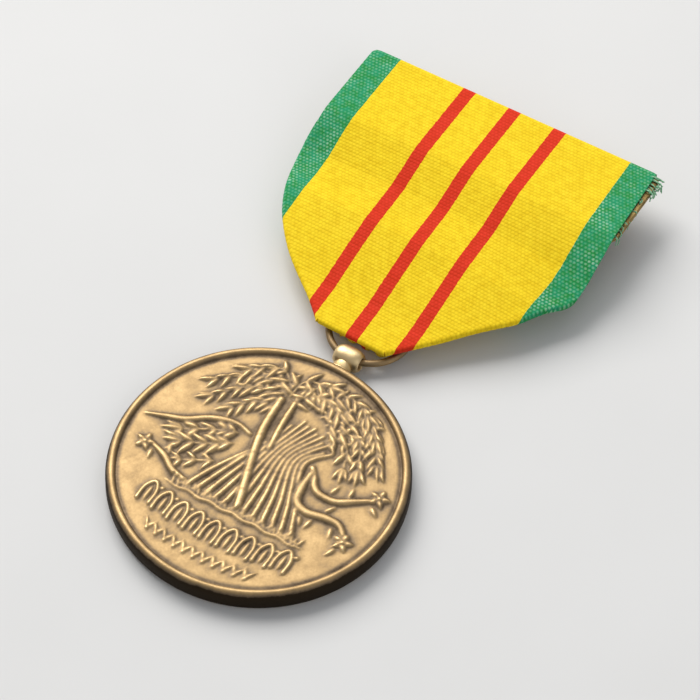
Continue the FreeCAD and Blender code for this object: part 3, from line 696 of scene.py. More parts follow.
def disc_grid(count, radius):
    """A square grid of count by count points bent to fill a disc."""
    line = np.linspace(-1, 1, count)
    a, b = np.meshgrid(line, line)
    return radius * a * np.sqrt(1 - b * b / 2), radius * b * np.sqrt(1 - a * a / 2)


def border(count):
    """Numbers of the grid's outermost points, walked anticlockwise."""
    index = np.arange(count * count).reshape(count, count)
    return np.concatenate([index[0, :-1], index[:-1, -1], index[-1, :0:-1], index[:0:-1, 0]])


FIELD_R = 14.9
FIELD_DEPTH = 0.36
# Radius, depth below the rim's top and how rubbed it is there, from the field outwards; on the outer wall
# the last rows go dark as painted shade.
RIM_SECTION = (
    (14.97, 0.30, 0.28),
    (15.04, 0.15, 0.42),
    (15.18, 0.04, 0.56),
    (15.34, 0.0, 0.64),
    (15.50, 0.03, 0.60),
    (15.66, 0.12, 0.42),
    (15.80, 0.26, 0.18),
    # Painted shade: the outer wall's rows are darker than any wear would make them.
    (15.92, 0.48, -0.1),
    (16.0, 0.82, -0.2),
)
FINE, COARSE = 245, 123


def face_heights(x, y, heights, softness):
    """Depth below the rim's top for a face with that relief, and how rubbed each point is."""
    r = np.hypot(x, y)
    moat = 0.05 * np.exp(-(((FIELD_R - r) / 0.34) ** 2))
    soft = smoothed(heights, softness)
    depth = FIELD_DEPTH + moat - soft * np.clip((FIELD_R - r) / 0.5, 0, 1)
    around = smoothed(soft, 14)
    wide = smoothed(around, 90)
    rubbed = 0.55 + (soft - around) * 4.6 - np.clip(wide - 0.01, 0, 0.08) * 2.8 + soft * 0.6
    rubbed -= 0.40 * np.exp(-(((FIELD_R - 0.1 - r) / 0.30) ** 2))
    return depth, np.clip(rubbed, 0.20, 1)


def rim_rings(edge_points):
    """Rings of points over the rim and round to the back, and how rubbed each ring is; the outer wall's
    rings are darkened as painted shade.
    """
    way = edge_points[:, :2] / np.linalg.norm(edge_points[:, :2], axis=1, keepdims=True)
    section = [(r, THICKNESS - depth, rubbed) for r, depth, rubbed in RIM_SECTION]
    section += RIM_SECTION[::-1]
    rings = [np.column_stack([way * r, np.full(len(way), z)]) for r, z, _ in section]
    return rings, [rubbed for _, _, rubbed in section]


def seam_faces(outer, inner):
    """Triangles between a loop of points and a loop of half as many."""
    k = np.arange(len(inner))
    a, b = inner, np.roll(inner, -1)
    f0, f1, f2 = outer[2 * k], outer[2 * k + 1], outer[(2 * k + 2) % len(outer)]
    return [np.stack([f0, a, f1], -1), np.stack([f1, a, b], -1), np.stack([f1, b, f2], -1)]


def pendant():
    """The struck disc: a fine grid in front, a coarser one behind, and the rim between them."""
    fx, fy = disc_grid(FINE, FIELD_R)
    front_depth, front_rubbed = face_heights(fx, fy, obverse_relief(fx, fy), 3)
    bx, by = disc_grid(COARSE, FIELD_R)
    back_depth, back_rubbed = face_heights(bx, by, reverse_relief(-bx, by), 1)
    front = np.stack([fx, fy, THICKNESS - front_depth], -1).reshape(-1, 3)
    back = np.stack([bx, by, back_depth], -1).reshape(-1, 3)

    edge = border(FINE)
    rings, rim_wear_and_shade = rim_rings(front[edge])
    loops = [edge] + [len(front) + k * len(edge) + np.arange(len(edge)) for k in range(len(rings))]
    first_back = len(front) + len(rings) * len(edge)
    faces = [grid_faces(FINE, FINE)]
    for upper, lower in zip(loops[:-1], loops[1:]):
        faces.append(np.stack([upper, lower, np.roll(lower, -1), np.roll(upper, -1)], -1))
    faces.append(grid_faces(COARSE, COARSE, first_back)[:, ::-1])
    faces += seam_faces(loops[-1], first_back + border(COARSE))

    points = np.vstack([front, *rings, back])
    points[:, :2] += PENDANT_CENTRE[:2]
    points[:, 2] += DISC_LOW[2]
    # Wear along the rim, with painted shade on its outer wall.
    rim = [np.full(len(edge), value) for value in rim_wear_and_shade]
    thing = make_mesh("pendant_struck", points, faces)
    store(thing, "patina_and_painted_light", np.concatenate([front_rubbed.ravel(), *rim, back_rubbed.ravel()]))
    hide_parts("pendant_disc")
    return dress(thing, BRONZE, "pendant")


WIRE = 0.38
CAD_WIRE = 0.5
RING_R = 4.5
# The bead's side is a superellipse that would close at BEAD_TIP, cut off at BEAD_HALF.
BEAD_HALF, BEAD_R, BEAD_TIP, BEAD_POWER = 1.55, 1.29, 1.86, 3.2
BORE_CLEARANCE = 0.08
NECK_START, NECK_LENGTH, NECK_R, NECK_FLATNESS = 0.75, 1.35, 1.12, 0.82


def bead():
    """The pierced bead and its neck; the bore flares so that the curved wire can turn in it."""
    centre = (LUG_LOW + LUG_HIGH) / 2
    centre[1] = RING_LOW[1] + CAD_WIRE
    heights = np.linspace(-BEAD_HALF, BEAD_HALF, 41)
    profile = [(BEAD_R * (1 - abs(z / BEAD_TIP) ** BEAD_POWER) ** 0.5, z) for z in heights]
    for z in np.linspace(BEAD_HALF * 0.98, -BEAD_HALF * 0.98, 13):
        profile.append((WIRE + BORE_CLEARANCE + RING_R - math.sqrt(RING_R**2 - z * z), z))
    points, faces = lathe(profile, 56)
    points = turned(points, (0, 1, 0), 90) + centre

    down = np.linspace(0, 1, 9)
    path = [(centre[0], centre[1] - NECK_START - NECK_LENGTH * t, centre[2]) for t in down]
    neck, neck_faces = tube(path, NECK_R * (0.88 + 0.32 * down**2.5), 40)
    neck[:, 2] = centre[2] + (neck[:, 2] - centre[2]) * NECK_FLATNESS
    points, faces = joined([(points, faces), (neck, neck_faces)])
    thing = make_mesh("suspension_bead", points, faces)
    # Painted highlight: the whole bead is pushed past the bronze's brightest tone, a little less round the
    # lower neck.
    low = np.clip(np.abs(points[:, 1] - centre[1] + 1.75) / 0.8, 0, 1)
    store(thing, "patina_and_painted_light", 0.98 + 0.45 * low)
    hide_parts("suspension_lug")
    return dress(thing, BRONZE, "pendant")


def ring():
    """Round wire ring; its butt joint is hidden in the ribbon's fold."""
    mean = (RING_HIGH[0] - RING_LOW[0]) / 2 - CAD_WIRE
    gap = math.radians(0.8)
    turn = np.linspace(math.pi / 2 + gap, math.pi / 2 + TAU - gap, 121)
    path = np.column_stack([mean * np.cos(turn), mean * np.sin(turn), np.zeros(len(turn))]) + RING_CENTRE
    radii = np.full(len(turn), WIRE)
    radii[0] = radii[-1] = WIRE * 0.9
    thing = make_mesh("suspension_wire_ring", *tube(path, radii, 24))
    store(thing, "patina_and_painted_light", np.full(len(thing.data.vertices), 0.42))
    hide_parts("suspension_ring")
    return dress(thing, BRONZE, "ring")


# ------------------------------------------------------------------ ribbon


CLOTH = 0.35
ROW_STEP = RIB_PITCH / 4
TIP_Y = LOOP_LOW[1] - 0.25
LIP_Z = 2.62
TIP_HALF = 4.1
TONGUE_HALF = 2.75
FOLD_R = 0.2
TURN_R = 0.40
TURN_Y = PANEL_HIGH[1] - CLOTH / 2
FACE_Z = PANEL_HIGH[2] - CLOTH / 2
TAIL_Z = PLATE_HIGH[2] + CLOTH / 2
# Where the cloth comes back out of the ring, under the lip at the tip.
INNER_Y, INNER_Z = TIP_Y + 0.95, LIP_Z - 0.46
BACK_Z = 0.38


def rounded_corner(before, corner, after):
    """Points round one corner of a path; each argument is (y, z, radius)."""
    p, radius = np.array(corner[:2], float), corner[2]
    u, v = np.array(before[:2]) - p, np.array(after[:2]) - p
    u /= np.linalg.norm(u)
    v /= np.linalg.norm(v)
    half = math.acos(np.clip(u @ v, -1, 1)) / 2
    reach = radius / math.tan(half)
    middle = p + (u + v) / np.linalg.norm(u + v) * radius / math.sin(half)
    a, b = p + u * reach - middle, p + v * reach - middle
    sweep = math.acos(np.clip(a @ b / radius**2, -1, 1))
    shares = [(math.sin((1 - t) * sweep), math.sin(t * sweep)) for t in np.linspace(0, 1, 16)]
    return [middle + (a * first + b * second) / math.sin(sweep) for first, second in shares]


def rounded_path(corners):
    """Points one row apart along straight runs with rounded corners, and their distances along it."""
    dense = [np.array(corners[0][:2], float)]
    for before, corner, after in zip(corners[:-2], corners[1:-1], corners[2:]):
        dense += rounded_corner(before, corner, after)
    dense.append(np.array(corners[-1][:2], float))
    dense = np.array(dense)
    length = np.concatenate([[0], np.cumsum(np.linalg.norm(np.diff(dense, axis=0), axis=1))])
    spots = np.arange(0, length[-1], ROW_STEP)
    return np.column_stack([np.interp(spots, length, dense[:, k]) for k in (0, 1)]), spots


def ribbon_line():
    """The ribbon's middle line, seen from the side: from its tail in the clamp to its sewn end."""
    corners = [
        (SHELL_HIGH[1] - 5.6, TAIL_Z, 0),
        (TURN_Y, TAIL_Z, TURN_R),
        (TURN_Y, FACE_Z, TURN_R),
        (24.8, FACE_Z + 0.40, 3.2),
        (19.4, 4.50, 3.2),
        (13.6, 4.50, 3.2),
        (5.0, 2.78, 5.0),
        (TIP_Y, LIP_Z, 0.22),
        (TIP_Y, INNER_Z, 0.22),
        (INNER_Y, INNER_Z, 0.26),
        (INNER_Y, BACK_Z, 0.36),
        (9.4, BACK_Z, 3.0),
        (13.2, 3.10, 3.0),
        (TAB_HIGH[1], TAB_HIGH[2] - CLOTH, 0),
    ]
    return rounded_path(corners)


# Where each side of the ribbon is folded back: (height, distance from the middle line).
LEFT_FOLD = (
    (23.5, 17.5),
    (20.0, 17.3),
    (17.7, 17.0),
    (15.7, 16.65),
    (13.7, 16.1),
    (12.0, 15.4),
    (10.2, 14.4),
    (8.4, 13.0),
    (6.6, 11.3),
    (4.8, 9.05),
    (2.8, 6.4),
    (0.8, 4.25),
    (-2.0, 2.0),
)
RIGHT_FOLD = (
    (17.6, 17.5),
    (16.0, 17.15),
    (14.4, 15.95),
    (11.2, 14.1),
    (8.1, 11.0),
    (4.9, 8.0),
    (2.5, 5.8),
    (0.6, 4.0),
    (-2.0, 1.6),
)
SOFTENING = np.linspace(-0.7, 0.7, 7)


def fold_at(y, stations):
    """Distance of a fold from the middle line at height y: its stations, (height, distance), softened."""
    heights, distances = zip(*stations[::-1])
    return np.interp(y + SOFTENING, heights, distances).mean()


def creases(y):
    """Where the folds cross a row at height y, and their directions, left then right."""
    ahead = 0.2
    found = []
    for side, stations in ((-1, LEFT_FOLD), (1, RIGHT_FOLD)):
        here = side * fold_at(y, stations)
        way = np.array([side * fold_at(y + ahead, stations) - here, ahead])
        found.append((here, way / np.linalg.norm(way)))
    return found


FRONT_COLUMNS = 72
ARC_COLUMNS = 6
FLAP_COLUMNS = 20
SIDE_COLUMNS = ARC_COLUMNS + FLAP_COLUMNS
COLUMNS = 2 * SIDE_COLUMNS + FRONT_COLUMNS
MIDDLE = slice(SIDE_COLUMNS, SIDE_COLUMNS + FRONT_COLUMNS)
SIDES = {-1: slice(0, MIDDLE.start), 1: slice(MIDDLE.stop, COLUMNS)}


def flap_points(crease_u, way, y, side):
    """(x, y, depth, cloth coordinate) of each point of a row's folded part, from the crease inwards."""
    spare = RIBBON_HALF - abs(crease_u)
    curl = min(math.pi, spare / FOLD_R)
    normal = np.array([way[1], -way[0]]) * side
    rows = []
    for t in np.linspace(0, curl, ARC_COLUMNS + 1)[1:]:
        out = FOLD_R * math.sin(t) * normal
        depth = FOLD_R * (1 - math.cos(t))
        rows.append((crease_u + out[0], y + out[1], depth, abs(crease_u) + FOLD_R * t))
    row_way = np.array([side, 0.0])
    back = 2 * (row_way @ way) * way - row_way
    start = abs(crease_u) + FOLD_R * math.pi
    for k in range(1, FLAP_COLUMNS + 1):
        run = max(RIBBON_HALF - start, 0) * k / FLAP_COLUMNS
        spot = np.array([crease_u, y]) + back * run
        lift = 0.10 * math.sin(math.pi * k / FLAP_COLUMNS)
        rows.append((spot[0], spot[1], 2 * FOLD_R + lift, start + run))
    return rows


# Hollows and swells of the hanging cloth: (x, y, width, height); the first two droop the edges.
DENTS = (
    (-18.5, 17.5, 6.5, -1.0),
    (18.5, 16.0, 7.5, -1.3),
    (-9.4, 16.8, 2.5, -0.20),
    (-2.6, 17.0, 2.3, -0.16),
    (3.6, 11.8, 2.7, -0.16),
    (-4.5, 9.0, 3.2, 0.10),
)
CLAMP_Y = 24.6
BELLY = 0.62


def dents(x, y):
    """How far the cloth stands above or below its even slope; nothing at the clamp and the tip."""
    free = np.clip((CLAMP_Y - y) / 9, 0, 1)
    held = free * free * (3 - 2 * free) * np.clip((y - TIP_Y) / 3, 0, 1)
    forms = (
        height * np.exp(-(((x - a) ** 2 + (y - b) ** 2) / width**2)) for a, b, width, height in DENTS
    )
    return held * sum(forms)


def swell(x, y):
    """How far the slack cloth bellies out sideways near its right edge."""
    share = np.interp(y, (12.5, 17.5, 22.5, 35.0), (0, 1, 1, 0))
    return BELLY * share * np.clip((x - 6) / 11.5, 0, 1) ** 2


SLANT = 0.034


def askew(points):
    """The clamped end sits a little aslant: lower towards its left end. Fades out down the ribbon."""
    share = np.clip((points[..., 1] - 14) / 10, 0, 1)
    points[..., 1] -= SLANT * (RIBBON_HALF + RIBBON_X - points[..., 0]) * share
    return points


class Rows:
    """Points of the ribbon's middle surface, row by row, their cloth coordinates, and which are cloth."""

    def __init__(self, length):
        self.points = np.zeros((length, COLUMNS, 3))
        self.across = np.zeros((length, COLUMNS))
        self.cloth = np.zeros((length, COLUMNS), bool)
        self.cloth[:, MIDDLE] = True

    def lay(self, i, x, y, z, across):
        """Fills the middle columns of row i."""
        self.points[i, MIDDLE] = np.stack(np.broadcast_arrays(x, y, z), -1)
        self.across[i, MIDDLE] = across

    def lay_flap(self, i, side, spots, across, used):
        """Fills the columns of one side of row i, of which the used ones next to the crease are cloth."""
        self.points[i, SIDES[side]] = spots[::side]
        self.across[i, SIDES[side]] = side * across[::side]
        self.cloth[i, SIDES[side]] = (np.arange(SIDE_COLUMNS) < used)[::side]


def clamped_row(rows, i, y, z):
    """A row of the tail or of the turn over the brooch's top: flat and of full width."""
    u = np.linspace(-RIBBON_HALF, RIBBON_HALF, FRONT_COLUMNS)
    rows.lay(i, u, y, z, u)


def face_row(rows, i, y, z, front):
    """A row of the face, with its two sides folded back behind it."""
    folds = creases(y)
    u = np.linspace(folds[0][0], folds[1][0], FRONT_COLUMNS)
    rows.lay(i, u, y, z + dents(u, y), u)
    for side, (crease, way) in zip((-1, 1), folds):
        spare = RIBBON_HALF - abs(crease)
        if spare < 0.03:
            continue
        x, height, depth, across = np.array(flap_points(crease, way, y, side)).T
        level = np.interp(height, front[:, 0], front[:, 1])
        spots = np.column_stack([x, height, level - depth + dents(x, height)])
        folded = spare > FOLD_R * math.pi + 0.05
        rows.lay_flap(i, side, spots, across, SIDE_COLUMNS if folded else ARC_COLUMNS)


def tongue_row(rows, i, line, run):
    """A row past the tip, squeezed into the ring; run is its distance from the tip."""
    squeeze = np.interp(run, (0.45, 1.5, 4.0, 7.5), (0, 1, 1, 0.04))
    half = TIP_HALF + (TONGUE_HALF - TIP_HALF) * squeeze
    u = np.linspace(-1, 1, FRONT_COLUMNS)
    pleat = 0.16 * squeeze * np.sin(u * TAU * 1.6)
    shift = (RING_CENTRE[0] - RIBBON_X) * squeeze
    way = line[min(i + 1, len(line) - 1)] - line[i - 1]
    way /= np.linalg.norm(way)
    y, z = line[i]
    rows.lay(i, u * half + shift, y + pleat * way[1], z - pleat * way[0], u * TIP_HALF)


def ribbon_rows():
    """All rows of the ribbon, from the tail to the sewn end, and their distances along it."""
    line, spots = ribbon_line()
    number = np.arange(len(line))
    turn = int(np.argmax(line[:, 0] > TURN_Y - TURN_R - 0.01))
    face = int(np.argmax((number > turn) & (line[:, 0] < TURN_Y - TURN_R - 0.05)))
    tip = int(np.argmax((number > face) & (line[:, 0] < TIP_Y + 0.25)))
    front = line[face : tip + 3]
    front = front[np.argsort(front[:, 0])]
    rows = Rows(len(line))
    for i, (y, z) in enumerate(line):
        if i < face:
            clamped_row(rows, i, y, z)
        elif i <= tip:
            face_row(rows, i, y, z, front)
        else:
            tongue_row(rows, i, line, spots[i] - spots[tip])
    points, across = rows.points, rows.across
    points[..., 0] += RIBBON_X + swell(points[..., 0], points[..., 1])
    # The top left corner is drawn in a little.
    corner = np.clip((points[..., 1] - 34.1) / 1.1, 0, 1) ** 2 * np.clip((-14 - across) / 3.5, 0, 1)
    points[..., 0] += 0.7 * corner
    return askew(points), across, rows.cloth, spots


def cloth_shell(points, faces, half):
    """A closed sheet round the middle surface, half thick on each side."""
    corners = points[faces]
    face_normals = np.cross(corners[:, 2] - corners[:, 0], corners[:, 3] - corners[:, 1])
    normals = np.zeros_like(points)
    for k in range(4):
        np.add.at(normals, faces[:, k], face_normals)
    normals /= np.maximum(np.linalg.norm(normals, axis=1, keepdims=True), 1e-12)
    count = len(points)
    edges = np.vstack([np.stack([faces[:, k], faces[:, (k + 1) % 4]], -1) for k in range(4)])
    keys = edges[:, 0] * count + edges[:, 1]
    back = edges[:, 1] * count + edges[:, 0]
    rim = edges[~np.isin(keys, back)]
    walls = np.stack([rim[:, 1], rim[:, 0], rim[:, 0] + count, rim[:, 1] + count], -1)
    shell = np.vstack([points + normals * half[:, None], points - normals * half[:, None]])
    return shell, [faces, faces[:, ::-1] + count, walls]


def ribbon_mesh(points, across, cloth, spots):
    """The ribbon's ribbed mesh, which keeps each point's place across the cloth and along it."""
    rows, columns = across.shape
    quads = grid_faces(rows, columns)[:, ::-1]
    used = cloth.ravel()
    quads = quads[used[quads].all(1)]
    keep = np.unique(quads)
    renumber = np.zeros(rows * columns, int)
    renumber[keep] = np.arange(len(keep))
    along = np.repeat(spots, columns)[keep]
    across = across.ravel()[keep]
    rib = np.abs(np.sin(math.pi * along / RIB_PITCH)) ** 0.7
    selvage = np.clip((RIBBON_HALF - np.abs(across)) / 0.25, 0, 1)
    half = CLOTH / 2 * (0.88 + 0.12 * rib) * (0.72 + 0.28 * selvage)
    shell, faces = cloth_shell(points.reshape(-1, 3)[keep], renumber[quads], half)
    thing = make_mesh("ribbon_drape", shell, faces)
    store(thing, "across", np.tile(across, 2))
    store(thing, "along", np.tile(along, 2))
    thing.data.set_sharp_from_angle(angle=math.radians(60))
    thing.data.materials.append(RIBBON)
    return thing


def ribbon():
    """The whole ribbon in one piece: clamp, face, folded corners, loop through the ring and sewn end."""
    points, across, cloth, spots = ribbon_rows()
    thing = ribbon_mesh(points, across, cloth, spots)
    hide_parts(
        "ribbon_front_panel",
        "ribbon_flap_right",
        "ribbon_flap_left",
        "ribbon_return_tab",
        "ribbon_loop",
    )
    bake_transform(thing)
    return thing


def wisp(y, tuft):
    """One loose thread at height y; those of the tuft reach further out."""
    edge = RIBBON_X + RIBBON_HALF + swell(RIBBON_HALF, y)
    reach = RNG.uniform(0.7, 1.3) if tuft else RNG.uniform(0.2, 0.5)
    lean = RNG.uniform(-1.1, 0.5)
    z = RNG.uniform(4.75, 5.40)
    path = [
        (edge - 0.5, y, z),
        (edge + reach * 0.35, y + lean * 0.2, z + RNG.uniform(-0.05, 0.20)),
        (edge + reach * 0.9, y + lean * 0.6, z + RNG.uniform(-0.30, 0.20)),
        (edge + reach * RNG.uniform(0.5, 1.1), y + lean, z + RNG.uniform(-0.9, 0.0)),
    ]
    return tube(bend(path, 14), np.linspace(0.095, 0.06, 14), 7)


def frayed_threads():
    """Loose selvage threads at the brooch's right end, and a tuft at its top corner."""
    parts = [wisp(y, False) for y in np.linspace(25.2, 33.0, 16)]
    parts += [wisp(y, True) for y in np.linspace(32.6, 34.6, 16)]
    thing = make_mesh("frayed_threads", *joined(parts))
    return dress(thing, GREEN_THREAD, "brooch")


# One stitch, as (across, share of its lean, up): both ends dip into the cloth.
STITCH = ((-0.62, -1, 0.22), (-0.50, -1, -0.02), (0, 0, -0.10), (0.50, 1, -0.02), (0.62, 1, 0.22))


def tack_stitches():
    """Thread stitches that hold the sewn end to the folds behind it."""
    parts = []
    slope = (TAB_HIGH[2] - TAB_LOW[2] - CLOTH) / (TAB_HIGH[1] - TAB_LOW[1])
    for x_middle in (RIBBON_X - 3.2, RIBBON_X + 3.2):
        for y in np.linspace(TAB_LOW[1] + 0.9, TAB_HIGH[1] - 0.7, 6):
            z = TAB_LOW[2] + (y - TAB_LOW[1]) * slope
            lean = RNG.uniform(-0.12, 0.12)
            path = [(x_middle + across, y + share * lean, z + up) for across, share, up in STITCH]
            parts.append(tube(bend(path, 13), 0.10, 8))
    thing = make_mesh("tack_thread", *joined(parts))
    thing.data.materials.append(STITCH_THREAD)
    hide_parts("tack_stitches")
    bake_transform(thing)
    return thing


# ------------------------------------------------------------------ brooch, pin and catch


def rounded_rectangle(width, height, radius, centre, steps=8):
    """Outline of a rectangle with round corners, anticlockwise."""
    spots = []
    for k, (sx, sy) in enumerate(((1, 1), (-1, 1), (-1, -1), (1, -1))):
        x, y = centre[0] + sx * (width / 2 - radius), centre[1] + sy * (height / 2 - radius)
        for t in np.linspace(0, math.pi / 2, steps):
            a = t + k * math.pi / 2
            spots.append((x + radius * math.cos(a), y + radius * math.sin(a)))
    return spots


PIN_Y = (PLATE_LOW[1] + PLATE_HIGH[1]) / 2
PIN_Z = 1.5
HINGE_X = (BRACKET_LOW[0] + BRACKET_HIGH[0]) / 2
CATCH_X = (HOUSING_LOW[0] + HOUSING_HIGH[0]) / 2
PLATE_Z = PLATE_LOW[2]
PLATE_CORNER = 0.8
SHEET = 0.5
LIP_INSET, LIP_R = 0.65, 0.14
# A weld mark, as (height on the plate, radius), from inside the plate outwards.
WELD = ((0.03, 0.62), (0.0, 0.62), (-0.03, 0.56), (-0.04, 0.45), (-0.045, 0.30))

EAR_INSIDE, EAR_OUTSIDE, EAR_ROUND = 0.9, 1.4, 1.2
# Half of the rivet, as (distance from its middle, radius), from its domed head inwards.
RIVET = ((1.75, 0.12), (1.74, 0.30), (1.66, 0.55), (1.52, 0.74), (1.40, 0.80), (1.39, 0.50))

NEEDLE_R = 0.42
NEEDLE_SPOTS = np.array([0.95, 1.25, 1.6, 2.2, 3.2, 6.0, 10.0, 14.0, 18.0, 22.0])
# Distances back from the needle's point, and its radii there.
POINT_SPOTS = np.array([2.6, 2.2, 1.6, 1.0, 0.5, 0.15, 0.0])
POINT_RADII = [NEEDLE_R, 0.405, 0.345, 0.255, 0.16, 0.075, 0.03]
EYE_BORE, EYE_R, EYE_HALF, EYE_EDGE = 0.55, 1.1, 0.78, 0.1

CHEEK_R, CHEEK_BORE, CHEEK_SLOT, CHEEK_THICK = 1.5, 0.95, 1.1, 0.6
BASE_WIDTH = 4.4
DRUM_R, JOURNAL_R, DRUM_BORE, DRUM_SLOT, DRUM_INSET = 1.27, 0.9, 0.55, 1.0, 0.66
KNURL_DEPTH, KNURLS = 0.03, 36
LEVER_WIDTH, LEVER_LENGTH, LEVER_HALF, LEVER_OUT = 0.98, 1.5, 0.26, 1.65


def fitting(name, parts, sharp=25, slanted=False):
    """A metal piece out of parts; edges that turn by more than sharp degrees stay crisp."""
    points, faces = joined(parts)
    thing = make_mesh(name, askew(points) if slanted else points, faces)
    thing.data.set_sharp_from_angle(angle=math.radians(sharp))
    return thing


def brooch_plate():
    """Back plate with a raised lip and four spot-weld marks."""
    width, height = PLATE_HIGH[0] - PLATE_LOW[0], PLATE_HIGH[1] - PLATE_LOW[1]
    centre = ((PLATE_LOW[0] + PLATE_HIGH[0]) / 2, PIN_Y)
    outline = rounded_rectangle(width, height, PLATE_CORNER, centre)
    parts = [eased(slab(outline, PLATE_Z + 0.02, PLATE_HIGH[2]), 0.08)]
    inner = rounded_rectangle(width - 2 * LIP_INSET, height - 2 * LIP_INSET, 0.5, centre)
    lip = [(x, y, PLATE_Z + 0.06) for x, y in inner]
    lip.append((lip[0][0], lip[0][1] - 0.02, lip[0][2]))
    parts.append(tube(lip, LIP_R, 16))
    for x in (HINGE_X + 3.4, HINGE_X - 2.3, CATCH_X - 3.6, CATCH_X + 3.4):
        path = [(x, PIN_Y, PLATE_Z + z) for z, _ in WELD]
        parts.append(tube(path, [r for _, r in WELD], 24))
    thing = fitting("brooch_plate", parts, slanted=True)
    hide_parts("brooch_back_plate")
    return dress(thing, BRASS, "brooch")


def brooch_front():
    """Front plate inside the ribbon's turn, with a round bead along each end."""
    centre = ((SHELL_LOW[0] + SHELL_HIGH[0]) / 2 + 0.12, (SHELL_LOW[1] + SHELL_HIGH[1]) / 2)
    width, height = SHELL_HIGH[0] - SHELL_LOW[0] - 0.45, SHELL_HIGH[1] - SHELL_LOW[1]
    outline = rounded_rectangle(width, height, PLATE_CORNER, centre)
    parts = [eased(slab(outline, SHELL_LOW[2], SHELL_HIGH[2]), 0.1)]
    for side in (-1, 1):
        x, z = centre[0] + side * (width / 2 - 0.12), SHELL_LOW[2] + 0.2
        edge = [(x, centre[1] + t * (height / 2 - 0.9), z) for t in (-1, -0.5, 0, 0.5, 1)]
        parts.append(tube(edge, 0.2, 16))
    thing = fitting("brooch_front_plate", parts, slanted=True)
    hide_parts("brooch_front_shell")
    return dress(thing, BRASS, "brooch")


def hinge():
    """Bent bracket with two round-ended ears."""
    low, high, wide = BRACKET_LOW[2], BRACKET_HIGH[2], BRACKET_HIGH[0] - BRACKET_LOW[0]
    outline = [(high, HINGE_X + wide / 2), (high, HINGE_X - wide / 2)]
    for t in np.linspace(math.pi, TAU, 17):
        outline.append((low + EAR_ROUND + EAR_ROUND * math.sin(t), HINGE_X + wide / 2 * math.cos(t)))
    parts = []
    for near, far in ((EAR_INSIDE, EAR_OUTSIDE), (-EAR_OUTSIDE, -EAR_INSIDE)):
        parts.append(eased(slab(outline[::-1], PIN_Y + near, PIN_Y + far, "y"), 0.07))
    roof = rounded_rectangle(wide, 2 * EAR_OUTSIDE, 0.3, (HINGE_X, PIN_Y), 5)
    parts.append(eased(slab(roof, high - SHEET, high), 0.04))
    thing = fitting("hinge_ears", parts)
    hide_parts("hinge_bracket")
    return dress(thing, BRASS, "brooch")


def hinge_rivet():
    """The hinge's rivet, domed at both ends."""
    stations = [(-out, r) for out, r in RIVET] + list(RIVET[::-1])
    path = [(HINGE_X, PIN_Y + out, PIN_Z) for out, _ in stations]
    rivet = fitting("hinge_rivet_domed", [tube(path, [r for _, r in stations], 32)], sharp=40)
    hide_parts("hinge_rivet")
    return dress(rivet, BRASS, "brooch")


def pin():
    """Sprung needle with a flattened eye and a ground point."""
    xs = np.concatenate([NEEDLE_SPOTS + HINGE_X, PIN_HIGH[0] - POINT_SPOTS])
    radii = [NEEDLE_R] * len(NEEDLE_SPOTS) + POINT_RADII
    points, faces = tube([(x, PIN_Y, PIN_Z) for x in xs], radii, 24)
    near = np.clip(1 - (points[:, 0] - HINGE_X - 0.9) / 1.6, 0, 1)
    points[:, 1] = PIN_Y + (points[:, 1] - PIN_Y) * (1 - near * 0.05)
    points[:, 2] = PIN_Z + (points[:, 2] - PIN_Z) * (1 + near * 0.75)
    rim = [(EYE_BORE, -EYE_HALF), (EYE_R - EYE_EDGE, -EYE_HALF), (EYE_R, EYE_EDGE - EYE_HALF)]
    eye, eye_faces = lathe(rim + [(r, -z) for r, z in rim[::-1]], 48)
    eye = turned(eye, (1, 0, 0), 90) + np.array([HINGE_X, PIN_Y, PIN_Z])
    thing = fitting("needle", [(points, faces), (eye, eye_faces)], sharp=45)
    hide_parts("pin_stem")
    return dress(thing, STEEL, "pin")


def arc_spots(radius, start, end, count, wave=0.0, teeth=0):
    """(Y, Z) points round the needle's axis from start to end in degrees, with optional fine teeth."""
    spots = []
    for t in np.radians(np.linspace(start, end, count)):
        size = radius + wave * math.cos(teeth * t)
        spots.append((size * math.cos(t) + PIN_Y, size * math.sin(t) + PIN_Z))
    return spots


def slot_angle(slot, radius):
    """Half of the angle, in degrees, that a slot cuts out of a circle."""
    return math.degrees(math.asin(slot / 2 / radius))


def drum_section(outer, wave=0.0, teeth=0):
    """A round section with the drum's bore and its slot, which opens downwards, anticlockwise."""
    gap, inner_gap = slot_angle(DRUM_SLOT, outer), slot_angle(DRUM_SLOT, DRUM_BORE)
    spots = arc_spots(outer, -90 + gap, 270 - gap, 97, wave, teeth)
    return spots + arc_spots(DRUM_BORE, 270 - inner_gap, -90 + inner_gap, 41)


def catch_housing():
    """Two slotted cheeks on a base plate."""
    left, right, top = HOUSING_LOW[0], HOUSING_HIGH[0], HOUSING_HIGH[2]
    gap, inner_gap = slot_angle(CHEEK_SLOT, CHEEK_R), slot_angle(CHEEK_SLOT, CHEEK_BORE)
    cheek = [(PIN_Y + CHEEK_R, top), (PIN_Y - CHEEK_R, top)]
    cheek += arc_spots(CHEEK_R, 180, 270 - gap, 21)
    cheek += arc_spots(CHEEK_BORE, 270 - inner_gap, -90 + inner_gap, 49)
    cheek += arc_spots(CHEEK_R, -90 + gap, 0, 21)
    parts = []
    for low, high in ((left, left + CHEEK_THICK), (right - CHEEK_THICK, right)):
        parts.append(eased(slab(cheek, low, high, "x"), 0.05))
    base = rounded_rectangle(right - left, BASE_WIDTH, 0.5, (CATCH_X, PIN_Y))
    parts.append(eased(slab(base, top - SHEET, top), 0.06))
    housing = fitting("catch_cheeks", parts)
    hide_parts("catch_housing")
    return dress(housing, BRASS, "brooch")


